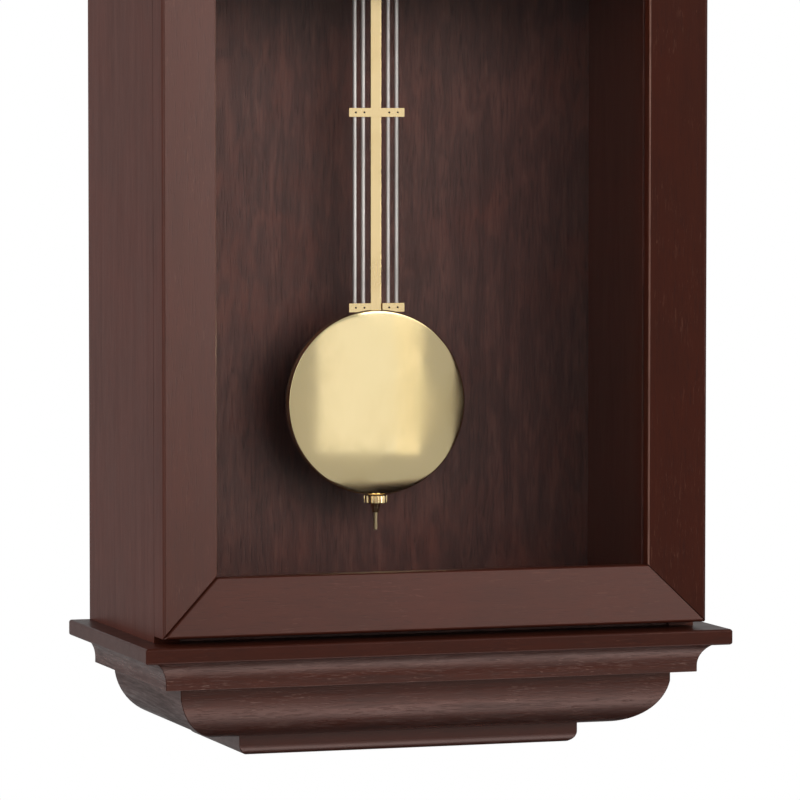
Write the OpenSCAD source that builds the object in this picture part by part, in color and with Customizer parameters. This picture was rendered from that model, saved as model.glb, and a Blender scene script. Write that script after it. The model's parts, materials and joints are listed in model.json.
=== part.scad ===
// Chiming wall clock: a long glazed case between two stacked mouldings, with a square dial,
// a battery chime movement behind it and a five-strip grid pendulum on its own drive unit.
// X runs to the viewer's right, Y runs back into the wall and Z runs up.
// The origin is the round hole of the keyhole hanger, in the plane of the wall.

/* [Case] */
// Width of the case and of the door
case_w = 322; // [310:1:350]
// Height of the side panels between the two ledges
case_h = 666; // [650:1:700]
// Depth of the side panels, from the wall to their front edges
case_d = 140; // [136:1:160]
// Thickness of the side panels
side_t = 15; // [13:0.5:18]
// Thickness of the back boards
back_t = 6; // [5:0.5:7]
// Thickness of the floor and roof boards
board_t = 12; // [9:0.5:15]
// Thickness of the rail that carries the hanger
rail_t = 12; // [10:0.5:13]
// Height of the rail that carries the hanger
rail_h = 60; // [50:1:70]
// Distance from the crown ledge down to the hanger's round hole
hanger_drop = 36; // [32:1:44]

/* [Base and crown] */
// Overhang of the ledges past the case sides
ledge_over = 12.6; // [9:0.1:18]
// Overhang of the ledges past the face of the door
ledge_nose = 10; // [6:0.5:16]
// Thickness of the ledges
ledge_t = 9; // [7:0.5:12]
// Height of the cove mouldings
cove_h = 16.5; // [14.5:0.5:24]
// Inset of the cove's lip from the ledge's edge
cove_in = 8.5; // [5:0.5:12]
// Horizontal run of the cove's hollow
cove_run = 7.2; // [5:0.1:9]
// Height of the square fillet under the cove's hollow
cove_foot = 3.5; // [2:0.5:6]
// Height of the ovolo mouldings
ovolo_h = 32; // [28:0.5:36]
// Inset of the ovolo's face from the ledge's edge
ovolo_in = 27.5; // [22:0.5:30]
// Horizontal run of the ovolo's curve
ovolo_run = 31; // [24:0.5:33]
// Height of the ovolo's curve
ovolo_rise = 26; // [20:0.5:27]
// Height of the end blocks below the base and above the crown
plinth_h = 12; // [9:0.5:18]
// Width of the end blocks
plinth_w = 204; // [180:1:206]
// Depth of the end blocks
plinth_d = 108; // [90:1:110]
// Radius of the end blocks' outer edges
plinth_r = 6.5; // [3:0.5:8]

/* [Door] */
// Thickness of the door at its outer edge
door_t = 19; // [17:0.5:22]
// Gap between the door and each ledge
door_gap = 3.7; // [2:0.1:6]
// Width of the stiles and rails
stile_w = 33; // [30:0.5:38]
// Fall of the canted face from the outer edge to the opening
cant = 7; // [4:0.5:8.5]
// Thickness of the glass
glass_t = 3; // [2:0.5:4]
// Thickness of the beads behind the glass
bead_t = 1.5; // [1:0.5:2]

/* [Hinges] */
// Height of each butt hinge
hinge_h = 50; // [40:1:60]
// Distance from the door's ends to the hinge centres
hinge_inset = 95; // [70:1:160]
// Radius of the hinge knuckles
knuckle_r = 2.6; // [2.4:0.1:3.2]
// Radius of the hinge pins
pin_r = 1.25; // [1:0.05:1.4]

/* [Dial] */
// Side of the square dial plate
dial_size = 262; // [258:1:268]
// Distance from the door's back to the front of the dial board
dial_setback = 15; // [15:0.5:20]
// Radius of the brass ring round the dial
bezel_r = 116; // [105:1:120]
// Length of the minute hand from its centre
minute_len = 96; // [80:1:100]
// Length of the hour hand from its centre
hour_len = 66; // [55:1:72]

/* [Pendulum] */
// Distance from the wall to the pendulum's middle plane
pend_out = 43; // [42:0.5:56]
// Height of the bob's centre above the foot of the base
bob_height = 195.3; // [185:0.1:205]
// Radius of the bob
bob_r = 54; // [46:0.5:60]
// Radius of the bob's domed face
dome_r = 300; // [220:1:400]
// Width of the flat suspension strip
strip_w = 6.5; // [5.5:0.1:7]
// Radius of the grid rods
rod_r = 1.2; // [1:0.05:1.3]
// Distance between the inner and the outer grid rods
rod_pitch = 5.2; // [4.6:0.1:7]
// Distance between the grid bars
bar_step = 113.4; // [105:0.1:118]
// Height of the grid bars
bar_h = 5.1; // [4:0.1:7]
// Radius of the rating nut
nut_r = 6.8; // [5:0.1:9]

/* [Hidden] */
$fn = 64;

// Colours
wood = "#4a2620";
wood_dark = "#351a16";
brass = "#c9a85c";
steel = "#c4c6c8";
black = "#222222";
gear_white = "#e8e4d4";
knob_white = "#d8d8d4";
dial_cream = "#efe9da";
glass_tint = "#cfe0dc";
copper = "#b0623a";
board_green = "#2f5d3a";
cell_grey = "#9a9a94";
cone_black = "#3a3a3a";
magnet_grey = "#8a8a8e";

// Fits and joints
slack = 0.05;
seat = 0.02;
loose = 0.3;
mitre_gap = 0.15;
door_mitre_gap = 0.4;
over = 1;

// Levels above the foot of the base
z_ovolo = plinth_h;
z_cove = z_ovolo + ovolo_h;
z_ledge = z_cove + cove_h;
z_case = z_ledge + ledge_t;
z_top = z_case + case_h;
total_h = z_top + z_case;
hanger_z = z_top - hanger_drop;

// Planes counted from the wall
seam = 1;
case_hw = case_w / 2;
in_hw = case_hw - side_t;
y_front = -case_d;
y_seam = y_front - seam / 2;
y_door = y_front - seam;
y_face = y_door - door_t;
ledge_hw = case_hw + ledge_over;
ledge_d = ledge_nose - y_face;
ledge_r = 1.5;

// Mouldings
strip_back = 12;
cove_lip = 0.5;
cove_w = cove_run + strip_back;
cove_rise = cove_h - cove_foot - cove_lip;
cove_r = (cove_run * cove_run + cove_rise * cove_rise) / (2 * cove_run);
ovolo_w = max(ledge_hw - plinth_w / 2, ledge_d - plinth_d) - ovolo_in + strip_back;
ovolo_r = (ovolo_run * ovolo_run + ovolo_rise * ovolo_rise) / (2 * ovolo_rise);

// Back of the case
back_rabbet = 6;
back_hw = in_hw + back_rabbet;
back_joint = 0.3;
board_set = 2;
rail_y = -back_t - rail_t;
rail_top = z_top - board_t;
rail_z = rail_top - rail_h;
plate_w = 56;
plate_h = 34;
plate_t = 2;
plate_low = 11;
key_r = 5;
slot_r = 2.5;
slot_rise = 14;
head_room = 9;
screw_r = 1.5;
screw_head = 2.8;
screw_cone = 1.3;
screw_len = 16;
plate_screw_x = 21;

// Door
door_z0 = z_case + door_gap;
door_z1 = z_top - door_gap;
open_hw = case_hw - stile_w;
face_flat = 1.6;
glass_rabbet = 7;
glass_play = 0.5;
y_glass = y_door - bead_t - glass_t;
door_mid = (door_z0 + door_z1) / 2;
glass_hw = open_hw + glass_rabbet - glass_play;
glass_hh = (door_z1 - door_z0) / 2 - stile_w + glass_rabbet - glass_play;

// Section of a door member, with x counted in from the outer edge
door_section = [
    [0, y_door], [0, y_face], [face_flat, y_face], [stile_w, y_face + cant],
    [stile_w, y_glass], [stile_w - glass_rabbet, y_glass], [stile_w - glass_rabbet, y_door]
];

// Hinges and catch
knuckle_out = 0.1;
hinge_x = case_hw + knuckle_r + knuckle_out;
hinge_zs = [door_z0 + hinge_inset, door_z1 - hinge_inset];
leaf_t = 1.2;
leaf_w = 11;
leaf_gap = 0.1;
knuckles = 5;
knuckle_gap = 0.2;
catch_drop = 90;
catch_h = 40;
catch_w = 9;
strike_t = 0.6;

// Dial
dial_y = y_door + dial_setback;
dial_board_t = 6;
plate_thick = 0.8;
dial_z = door_z1 - stile_w - open_hw;
dial_margin = 4;
dial_low = dial_z - dial_size / 2 - dial_margin;
bushing_r = 5;
bushing_nut_r = 8;
bushing_nut_t = 2.5;
bezel_bead = 2.2;
cleat = 12;

// Removable back panel, which uncovers the movement
access_drop = 100;
access_gap = 24;
access_screw_in = 20;
access_z = [dial_z - access_drop, rail_z - access_gap];
access_screw_zs = [access_z[0] + access_screw_in, access_z[1] - access_screw_in];
sound_pitch = 9;
sound_r = 2.5;
sound_rows = 2;

// Hands, with the leaf and the tail as shares of a hand's length
hand_t = 0.8;
minute_angle = 60;
hour_angle = 305;
minute_hub = 5;
hour_hub = 6;
cap_r = 3.2;
cap_h = 2.5;
stem_root = 1.6;
stem_tip = 0.9;
hand_point = 0.5;
stem_share = 0.9;
leaf_share = 0.62;
leaf_wide = 0.085;
leaf_pierced = 0.05;
leaf_neck = 0.07;
tail_share = 0.15;
tail_disc = 0.7;

// Movement, with t counted back from the rear of the dial board
mov_y = dial_y + dial_board_t;
box_left = 102;
box_right = 66;
box_low = 50;
box_high = 48;
box_deep = 28;
wall = 2;
bay_top = 32;
bearing_skin = 0.8;
bearing = 2.4;
boss_t = 22;
boss_r = 2.5;
arbor_r = 0.7;
pipe_r = 3;
cannon_r = 2;
tip_r = 1.5;
post_r = 1.2;
stud_r = 1.5;
bushing_t = -10;
hour_t = -12.2;
minute_t = -15;
pipe_out = 0.2;
tip_out = 1;
tip_back = 1.4;
cannon_end = 12;
arbor_t = 1;
arbor_end = 24;
post_end = 7.6;
hour_wheel_t = 2.6;
minute_pinion_t = 2.5;
cannon_wheel_t = 5;
minute_wheel_t = 5.2;
centre_hub_t = 8;
centre_hub_h = 3;
centre_hub_r = 4;
centre_wheel_t = 8.2;
third_t = 8;
fourth_t = 10.8;
rotor_t = 13.6;
magnet_t = 16.4;
magnet_h = 2;
magnet_r = 4;
pinion_w = 2;
wheel_w = 1.6;
wheel_step = 3;
setting_r = 7;
setting_h = 7;
setting_gap = 1;

// Gearing
tooth_root = 0.26;
tooth_tip = 0.1;
addendum = 0.85;
dedendum = 1.15;
motion_m = 0.7;
cannon_n = 12;
minute_n = 36;
minute_pinion_n = 10;
hour_n = 40;
setting_n = 12;
motion_a = motion_m * (cannon_n + minute_n) / 2;
hour_m = 2 * motion_a / (minute_pinion_n + hour_n);
pinion_n = 8;
centre_n = 120;
third_n = 96;
fourth_n = 80;
centre_m = 0.42;
third_m = 0.4;
fourth_m = 0.36;
motion_dir = 200;
third_dir = 60;
fourth_dir = 0;
rotor_dir = -70;
minute_at = polar(motion_a, motion_dir);
setting_at = minute_at + polar(motion_a, motion_dir);
third_at = polar(centre_m * (centre_n + pinion_n) / 2, third_dir);
fourth_at = third_at + polar(third_m * (third_n + pinion_n) / 2, fourth_dir);
rotor_at = fourth_at + polar(fourth_m * (fourth_n + pinion_n) / 2, rotor_dir);
arbor_posts = [third_at, fourth_at, rotor_at];
minute_phase = mesh_phase(cannon_n, minute_n, 0, motion_dir);
hour_phase = mesh_phase(minute_pinion_n, hour_n, 0, motion_dir + 180);
setting_phase = mesh_phase(minute_n, setting_n, minute_phase, motion_dir);
third_phase = mesh_phase(centre_n, pinion_n, 0, third_dir);
fourth_phase = mesh_phase(third_n, pinion_n, 0, fourth_dir);
rotor_phase = mesh_phase(fourth_n, pinion_n, 0, rotor_dir);

// Electrical pieces
cell_r = 7.1;
cell_len = 49;
cell_nub_r = 2.7;
cell_nub = 1.2;
cell_z = -40;
cell_x = 0.4;
cell_gap = 1;
cell_pair_x = cell_x - cell_gap - cell_nub - cell_len;
contact_t = 1.8;
contact_gap = 0.6;
contact_deep = 20;
coil_r = 6;
coil_len = 18;
coil_at = [56, -20];
core_w = 4;
stator_t = 16.6;
sheet_t = 1.6;
rotor_hole = 5;
stator_side = 7;
stator_low = 8;
stator_high = 6.5;
stator_leg = 5;
stator_foot = 6;
stator_head = 13;
board_at = [-26, -29];
board_size = [56, 23];
board_deep = 20;
board_studs = [[-22, -26], [26, -26], [26, -10]];
stator_studs = [[56, 12], [36, -25]];
speaker_at = [-74, 9];
speaker_r = 26;
speaker_rim = 3;
speaker_lip = 1;
cone_h = 11;
driver_r = 14;
driver_h = 8;
grille_pitch = 6;
grille_rows = 3;
grille_half = [15, 1.5];
chip_at = [20, 8];
chip_size = [12, 9];
chip_t = 2;
slider_at = [50, 36];
slider_travel = 5;
slider_flange = 1.4;
slider_half = [6, 4];
slider_neck = [2, 1.2];
slider_knob = [3.5, 3];
slider_proud = 3;
slider_play = 1;

// Pendulum drive, with heights counted from the pivot
pivot_drop = 40;
pivot_z = rail_top - pivot_drop;
drive_hw = 40;
drive_low = 42;
drive_high = 30;
drive_gap = 7;
drive_y = -pend_out + drive_gap;
drive_boss_r = 4;
drive_boss = 8;
drive_cell_in = 12;
pivot_r = 1.5;
pivot_play = 0.6;
pivot_head = 1;
pivot_rim = 1.3;
lever_t = 3;
lever_gap = 1.2;
lever_y = -pend_out + lever_gap;
lever_w = 9;
lever_eye = 6;
hook_drop = 31.5;
hook_r = 1.4;
hook_rim = 0.8;
hook_out = 2;
hook_lip = 1;
hook_fit = 0.1;
magnet_drop = 20;
cup_r = 5;
cup_h = 2;

// Pendulum
pend_y = -pend_out;
strip_t = 2;
hook_z = pivot_z - hook_drop;
strip_in = 11;
strip_low = bob_height - bob_r + strip_in;
rod_in = 7.6;
rod_out = rod_in + rod_pitch;
rod_xs = [-rod_out, -rod_in, rod_in, rod_out];
bar_t = 1.4;
bar_end = 4.1;
bar_hw = rod_out + bar_end;
bar_y = pend_y - rod_r - bar_t;
bar_lap = 1.05;
bar_low = bob_height + bob_r - bar_lap;
rod_low = bob_height + bob_r + loose;
bar_pin_r = 0.6;
screw_thread_r = 1.25;
screw_fit = 0.1;
screw_let = 8;
screw_drop = 20.6;
screw_tip = bob_height - bob_r - screw_drop;
skirt = 3.5;
shell_t = 0.9;
rim_r = 1.6;
dome_drop = sqrt(pow(dome_r - rim_r, 2) - pow(bob_r - rim_r, 2));
skirt_back = 1.6;
skirt_y = pend_y + skirt_back;
bob_slot = 8;
bob_back_t = 1;
bob_back_in = 0.2;
nut_h = 4.2;
nut_hub = 5.6;
nut_hub_tip = 1.75;
nut_ring_r = 2.05;
nut_ring_h = 1.6;
nut_hub_root = 3.4;
nut_top = bob_height - bob_r - loose;
knurls = 12;
knurl_r = 0.95;
knurl_out = 0.1;

// A point at a distance and a direction, in the plane of the dial
function polar(r, a) = [r * cos(a), r * sin(a)];

// Tooth phase that sets wheel b's gap on wheel a's tooth, with b at direction a_to_b from a
function mesh_phase(na, nb, phase_a, a_to_b) =
    a_to_b + 180 - (na / nb) * (phase_a - a_to_b) - 180 / nb;

// Outline of a wheel with n teeth, four points to a tooth
function gear_points(n, m) = [
    for (i = [0 : n - 1], k = [[-tooth_root, -dedendum], [-tooth_tip, addendum],
                               [tooth_tip, addendum], [tooth_root, -dedendum]])
        polar(m * (n / 2 + k[1]), (i + k[0]) * 360 / n)
];

// Everything is drawn up from the foot of the base and then hung on the origin
module hung() {
    translate([0, 0, -hanger_z]) children();
}

module box(x, y, z) {
    translate([x[0], y[0], z[0]]) cube([x[1] - x[0], y[1] - y[0], z[1] - z[0]]);
}

// A drawing in X and Z, drawn out between two depths
module along_y(y0, y1) {
    translate([0, y1, 0]) rotate([90, 0, 0]) linear_extrude(y1 - y0) children();
}

// A drawing in Y and Z, drawn out between two sides
module along_x(x0, x1) {
    translate([x0, 0, 0]) rotate([90, 0, 90]) linear_extrude(x1 - x0) children();
}

// A drawing in X and Y, drawn out between two heights
module along_z(z0, z1) {
    translate([0, 0, z0]) linear_extrude(z1 - z0) children();
}

module rod_y(r, y0, y1) {
    translate([0, y1, 0]) rotate([90, 0, 0]) cylinder(r = r, h = y1 - y0);
}

module at_xz(p) {
    translate([p[0], 0, p[1]]) children();
}

// Moves a piece of the movement to the dial's centre and the dial board's rear
module at_movement() {
    hung() translate([0, mov_y, dial_z]) children();
}

module at_pivot() {
    hung() translate([0, 0, pivot_z]) children();
}

// The crown is the base turned upside down
module at_crown() {
    translate([0, 0, total_h]) mirror([0, 0, 1]) children();
}

// The waste outside a rounded corner at the origin
module corner_waste(r) {
    difference() {
        square(r);
        translate([r, r]) circle(r);
    }
}

// Section of a board with its outer edge eased at the bottom and, if asked, at the top
module eased_edge(len, h, r_low, r_high) {
    difference() {
        square([len, h]);
        corner_waste(r_low);
        if (r_high > 0) translate([0, h]) mirror([0, 1]) corner_waste(r_high);
    }
}

// A board against the wall with eased front and side edges
module eased_board(hw, d, h, r_low, r_high) {
    intersection() {
        along_x(-hw, hw) translate([-d, 0]) eased_edge(d, h, r_low, r_high);
        along_y(-d, 0) intersection() {
            translate([-hw, 0]) eased_edge(2 * hw, h, r_low, r_high);
            translate([hw, 0]) mirror([1, 0]) eased_edge(2 * hw, h, r_low, r_high);
        }
    }
}

// Three strips of one section, mitred round the front corners. The section is drawn with x as the
// inset from the ledge's edge, and deep is its greatest inset.
module mitred_strips(deep) {
    front = [
        [-ledge_hw + mitre_gap, -ledge_d], [ledge_hw - mitre_gap, -ledge_d],
        [ledge_hw - deep - mitre_gap, deep - ledge_d], [deep + mitre_gap - ledge_hw, deep - ledge_d]
    ];
    side = [
        [-ledge_hw, -ledge_d], [deep - ledge_hw, deep - ledge_d],
        [deep - ledge_hw, 0], [-ledge_hw, 0]
    ];
    intersection() {
        along_x(-ledge_hw, ledge_hw) translate([-ledge_d, 0]) children();
        along_z(0, total_h) polygon(front);
    }
    for (s = [0, 1]) mirror([s, 0, 0]) intersection() {
        along_y(-ledge_d, 0) translate([-ledge_hw, 0]) children();
        along_z(0, total_h) polygon(side);
    }
}

module cove_section() {
    translate([cove_in, z_cove]) difference() {
        square([cove_w, cove_h]);
        square([cove_run, cove_foot]);
        translate([cove_run - cove_r, cove_foot]) circle(cove_r);
    }
}

module ovolo_section() {
    translate([ovolo_in, z_ovolo]) intersection() {
        square([ovolo_w, ovolo_h]);
        union() {
            translate([ovolo_run, ovolo_r]) circle(ovolo_r);
            translate([ovolo_run, 0]) square([ovolo_w - ovolo_run, ovolo_h]);
        }
    }
}

module ledge() {
    translate([0, 0, z_ledge]) eased_board(ledge_hw, ledge_d, ledge_t, ledge_r, ledge_r);
}

module cove() {
    mitred_strips(cove_in + cove_w) cove_section();
}

module ovolo() {
    mitred_strips(ovolo_in + ovolo_w) ovolo_section();
}

module end_block() {
    eased_board(plinth_w / 2, plinth_d, plinth_h, plinth_r, 0);
}

module base_ledge() {
    color(wood) hung() ledge();
}

module base_cove() {
    color(wood) hung() cove();
}

module base_ovolo() {
    color(wood) hung() ovolo();
}

module base_plinth() {
    color(wood) hung() end_block();
}

module crown_ledge() {
    color(wood) hung() at_crown() ledge();
}

module crown_cove() {
    color(wood) hung() at_crown() cove();
}

module crown_ovolo() {
    color(wood) hung() at_crown() ovolo();
}

module crown_cap() {
    color(wood) hung() at_crown() end_block();
}

// Countersunk screw with its head flush at y = 0
module screw() {
    rotate([90, 0, 0]) cylinder(r1 = screw_head, r2 = screw_r, h = screw_cone);
    rod_y(screw_r, -screw_len, -screw_cone);
}

module all_screws() {
    for (x = [-1, 1]) {
        translate([x * plate_screw_x, 0, hanger_z]) screw();
        for (z = access_screw_zs) translate([x * (in_hw + back_rabbet / 2), 0, z]) screw();
    }
}

module back_screws() {
    color(steel) hung() all_screws();
}

module side_section() {
    polygon([
        [in_hw, y_front], [case_hw, y_front], [case_hw, 0],
        [back_hw, 0], [back_hw, -back_t], [in_hw, -back_t]
    ]);
}

module side_left() {
    color(wood) hung() difference() {
        mirror([1, 0, 0]) along_z(z_case, z_top) side_section();
        all_screws();
    }
}

module side_right() {
    color(wood) hung() difference() {
        along_z(z_case, z_top) side_section();
        all_screws();
        for (z = hinge_zs) leaf_plate(z, 1);
    }
}

// The keyhole, with room round it for the head of the wall screw
module keyhole(extra) {
    circle(key_r + extra);
    translate([0, slot_rise]) circle(slot_r + extra);
    translate([-slot_r - extra, 0]) square([2 * (slot_r + extra), slot_rise]);
}

module back_boards() {
    color(wood_dark) hung() {
        box([-back_hw, back_hw], [-back_t, 0], [z_case, access_z[0] - back_joint]);
        difference() {
            box([-back_hw, back_hw], [-back_t, 0], [access_z[1] + back_joint, z_top]);
            plate_blank();
            translate([0, 0, hanger_z]) along_y(-back_t - over, 0) circle(head_room);
            translate([-head_room, -back_t - over, hanger_z])
                cube([2 * head_room, back_t + over, slot_rise]);
            all_screws();
        }
    }
}

module plate_blank() {
    box([-plate_w / 2, plate_w / 2], [-plate_t, 0],
        [hanger_z - plate_low, hanger_z - plate_low + plate_h]);
}

module hanger_plate() {
    color(steel) hung() difference() {
        plate_blank();
        translate([0, 0, hanger_z]) along_y(-plate_t - over, over) keyhole(0);
        all_screws();
    }
}

module hanging_rail() {
    color(wood_dark) hung() difference() {
        box([-in_hw, in_hw], [rail_y, -back_t], [rail_z, rail_top]);
        all_screws();
    }
}

// Rows of round sound holes behind the speaker
module sound_holes() {
    for (row = [-sound_rows : sound_rows], i = [-sound_rows : sound_rows])
        if (norm([row, i]) < sound_rows + 0.5)
            translate([0, 0, dial_z]) at_xz(speaker_at + sound_pitch * [i, row])
                rod_y(sound_r, -back_t - over, over);
}

module access_panel() {
    color(wood_dark) hung() difference() {
        box([-back_hw, back_hw], [-back_t, 0], access_z);
        all_screws();
        sound_holes();
    }
}

module end_boards() {
    color(wood_dark) hung()
        for (z = [z_case, z_top - board_t])
            box([-in_hw, in_hw], [y_front + board_set, -back_t], [z, z + board_t]);
}

// The stile on the viewer's left, mitred at both ends
module stile() {
    lap = stile_w + door_mitre_gap / 2;
    intersection() {
        translate([-case_hw, 0, 0]) along_z(door_z0, door_z1) polygon(door_section);
        along_y(y_face - over, 0) translate([-case_hw, 0]) polygon([
            [0, door_z0 + door_mitre_gap / 2], [stile_w, door_z0 + lap],
            [stile_w, door_z1 - lap], [0, door_z1 - door_mitre_gap / 2]
        ]);
    }
}

// The lower rail, mitred at both ends
module rail() {
    gap = door_mitre_gap / 2;
    intersection() {
        along_x(-case_hw, case_hw)
            translate([0, door_z0]) polygon([for (p = door_section) [p[1], p[0]]]);
        along_y(y_face - over, 0) polygon([
            [gap - case_hw, door_z0], [case_hw - gap, door_z0],
            [open_hw - gap, door_z0 + stile_w], [gap - open_hw, door_z0 + stile_w]
        ]);
    }
}

module door_stile_left() {
    color(wood) hung() stile();
}

module door_stile_right() {
    color(wood) hung() difference() {
        mirror([1, 0, 0]) stile();
        for (z = hinge_zs) leaf_plate(z, -1);
    }
}

module door_rail_bottom() {
    color(wood) hung() rail();
}

module door_rail_top() {
    color(wood) hung() translate([0, 0, 2 * door_mid]) mirror([0, 0, 1]) rail();
}

module door_glass() {
    color(glass_tint, 0.25) hung() translate([0, 0, door_mid])
        box([-glass_hw, glass_hw], [y_glass, y_glass + glass_t], [-glass_hh, glass_hh]);
}

// Four strips that close the rabbet behind the glass
module glass_beads() {
    y = [y_door - bead_t, y_door];
    w = glass_rabbet - glass_play - loose;
    color(wood_dark) hung() translate([0, 0, door_mid]) for (s = [0, 1]) {
        mirror([s, 0, 0]) box([-glass_hw, w - glass_hw], y, [-glass_hh, glass_hh]);
        mirror([0, 0, s])
            box([w - glass_hw + loose, glass_hw - w - loose], y, [-glass_hh, w - glass_hh]);
    }
}

// The flat leaf of a hinge: side 1 is let into the case and side -1 into the door
module leaf_plate(z, side) {
    near = y_seam + side * leaf_gap;
    far = near + side * leaf_t;
    box([case_hw - leaf_w, case_hw], [min(near, far), max(near, far)],
        [z - hinge_h / 2, z + hinge_h / 2]);
}

// A leaf with the knuckles whose numbers leave the given remainder when halved
module hinge_leaf(z, side, odd, fit) {
    step = hinge_h / knuckles;
    near = y_seam + side * leaf_gap;
    far = near + side * leaf_t;
    difference() {
        union() {
            leaf_plate(z, side);
            for (i = [odd : 2 : knuckles - 1]) {
                z0 = z - hinge_h / 2 + i * step + knuckle_gap / 2;
                z1 = z0 + step - knuckle_gap;
                box([case_hw - over, hinge_x], [min(near, far), max(near, far)], [z0, z1]);
                translate([hinge_x, y_seam, 0]) along_z(z0, z1) circle(knuckle_r);
            }
        }
        translate([hinge_x, y_seam, 0]) along_z(z - hinge_h, z + hinge_h) circle(pin_r + fit);
    }
}

module hinge_case_leaves() {
    color(brass) hung() for (z = hinge_zs) hinge_leaf(z, 1, 0, seat);
}

module hinge_door_leaves() {
    color(brass) hung() for (z = hinge_zs) hinge_leaf(z, -1, 1, slack);
}

module hinge_pins() {
    color(brass) hung() for (z = hinge_zs)
        translate([hinge_x, y_seam, 0]) along_z(z - hinge_h / 2, z + hinge_h / 2) circle(pin_r);
}

// Magnetic catch on the side panel and its steel plate on the door
module catch_body() {
    color(black) hung() translate([-in_hw, 0, dial_z - catch_drop])
        box([0, catch_w], [y_door + strike_t + loose, dial_y - over], [0, catch_h]);
}

module strike_plate() {
    color(steel) hung() translate([-in_hw, 0, dial_z - catch_drop])
        box([0, catch_w], [y_door, y_door + strike_t], [0, catch_h]);
}

module dial_cleats() {
    color(wood_dark) hung() for (s = [0, 1])
        mirror([s, 0, 0]) box([in_hw - cleat, in_hw], [mov_y, mov_y + cleat], [dial_low, rail_top]);
}

module dial_board() {
    color(wood_dark) hung() difference() {
        box([-in_hw, in_hw], [dial_y, mov_y], [dial_low, rail_top]);
        translate([0, 0, dial_z]) rod_y(bushing_r + loose, dial_y - over, mov_y + over);
    }
}

module dial_plate() {
    half = dial_size / 2;
    color(dial_cream) hung() difference() {
        box([-half, half], [dial_y - plate_thick, dial_y], [dial_z - half, dial_z + half]);
        translate([0, 0, dial_z]) rod_y(bushing_r + loose, dial_y - over, dial_y + over);
    }
}

module dial_bezel() {
    color(brass) hung() translate([0, dial_y - plate_thick, dial_z]) rotate([90, 0, 0])
        rotate_extrude() translate([bezel_r, 0]) intersection() {
            circle(bezel_bead);
            translate([-bezel_bead, 0]) square([2 * bezel_bead, bezel_bead]);
        }
}

module bushing_nut() {
    t0 = -dial_board_t - plate_thick;
    color(brass) at_movement() difference() {
        translate([0, t0, 0]) rotate([90, 0, 0])
            cylinder(r = bushing_nut_r, h = bushing_nut_t, $fn = 6);
        rod_y(bushing_r + seat, t0 - bushing_nut_t - over, t0 + over);
    }
}

module gear(n, m, phase, t0, t1) {
    along_y(t0, t1) rotate(phase) polygon(gear_points(n, m));
}

// Front half of the movement: a tray with the threaded bushing, the battery bay and the studs
module movement_front() {
    color(black) at_movement() difference() {
        union() {
            difference() {
                box([-box_left, box_right], [0, box_deep], [-box_low, box_high]);
                box([wall - box_left, box_right - wall], [wall, box_deep + over],
                    [wall - bay_top, box_high - wall]);
                box([wall - box_left, box_right - wall], [wall, box_deep + over],
                    [wall - box_low, -bay_top]);
            }
            rod_y(bushing_r, bushing_t, wall);
            at_xz(minute_at) rod_y(post_r, wall, post_end);
            for (p = board_studs) at_xz(p) rod_y(stud_r, wall, board_deep);
            for (p = stator_studs) at_xz(p) rod_y(stud_r, wall, stator_t);
            for (x = [cell_pair_x - contact_gap - contact_t, cell_x + cell_len + cell_nub + contact_gap])
                box([x, x + contact_t], [wall, contact_deep], [wall - box_low, -bay_top]);
        }
        rod_y(pipe_r + slack, bushing_t - over, wall + over);
        for (p = concat(arbor_posts, [setting_at]))
            at_xz(p) rod_y(arbor_r + slack, bearing_skin, wall + over);
    }
}

// Rear cover, with the bearing bosses and the openings for the controls and the speaker
module movement_rear() {
    through = [box_deep - over, box_deep + wall + over];
    slot_x = slider_travel + slider_neck[0] + slider_play;
    slot_z = slider_neck[1] + loose;
    color(black) at_movement() difference() {
        union() {
            box([-box_left, box_right], [box_deep, box_deep + wall], [-bay_top, box_high]);
            for (p = concat(arbor_posts, [[0, 0]])) at_xz(p) rod_y(boss_r, boss_t, box_deep);
        }
        for (p = concat(arbor_posts, [[0, 0]]))
            at_xz(p) rod_y(arbor_r + slack, boss_t - over, boss_t + bearing);
        at_xz(setting_at) rod_y(boss_r + slack, through[0], through[1]);
        at_xz(slider_at) box([-slot_x, slot_x], through, [-slot_z, slot_z]);
        for (i = [-grille_rows : grille_rows]) at_xz(speaker_at + [0, i * grille_pitch])
            box([-grille_half[0], grille_half[0]], through, [-grille_half[1], grille_half[1]]);
    }
}

module circuit_board() {
    color(board_green) at_movement() at_xz(board_at) {
        translate([0, board_deep, 0]) cube([board_size[0], sheet_t, board_size[1]]);
        at_xz(chip_at) translate([0, board_deep - chip_t, 0]) cube([chip_size[0], chip_t, chip_size[1]]);
    }
}

// A bobbin of wire with its axis on Z and a square way through it
module coil() {
    difference() {
        cylinder(r = coil_r, h = coil_len);
        translate([-core_w / 2 - loose, -sheet_t / 2 - loose, -over])
            cube([core_w + 2 * loose, sheet_t + 2 * loose, coil_len + 2 * over]);
    }
}

// One coil on the motor's core and one behind the drive's front wall
module coils() {
    color(copper) {
        at_movement() translate([coil_at[0], stator_t + sheet_t / 2, coil_at[1]]) coil();
        at_pivot() translate([-coil_len / 2, drive_y + wall + coil_r, -magnet_drop])
            rotate([0, 90, 0]) coil();
    }
}

// A closed loop of sheet with the rotor's hole in one leg and the coil on another
module motor_stator() {
    left = rotor_at[0] - stator_side;
    right = coil_at[0] + core_w / 2;
    low = coil_at[1] - stator_low;
    high = rotor_at[1] + stator_high;
    color(steel) at_movement() along_y(stator_t, stator_t + sheet_t) difference() {
        translate([left, low]) square([right - left, high - low]);
        translate([left + stator_leg, low + stator_foot])
            square([right - left - core_w - stator_leg, high - stator_head - low - stator_foot]);
        translate(rotor_at) circle(rotor_hole);
    }
}

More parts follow.
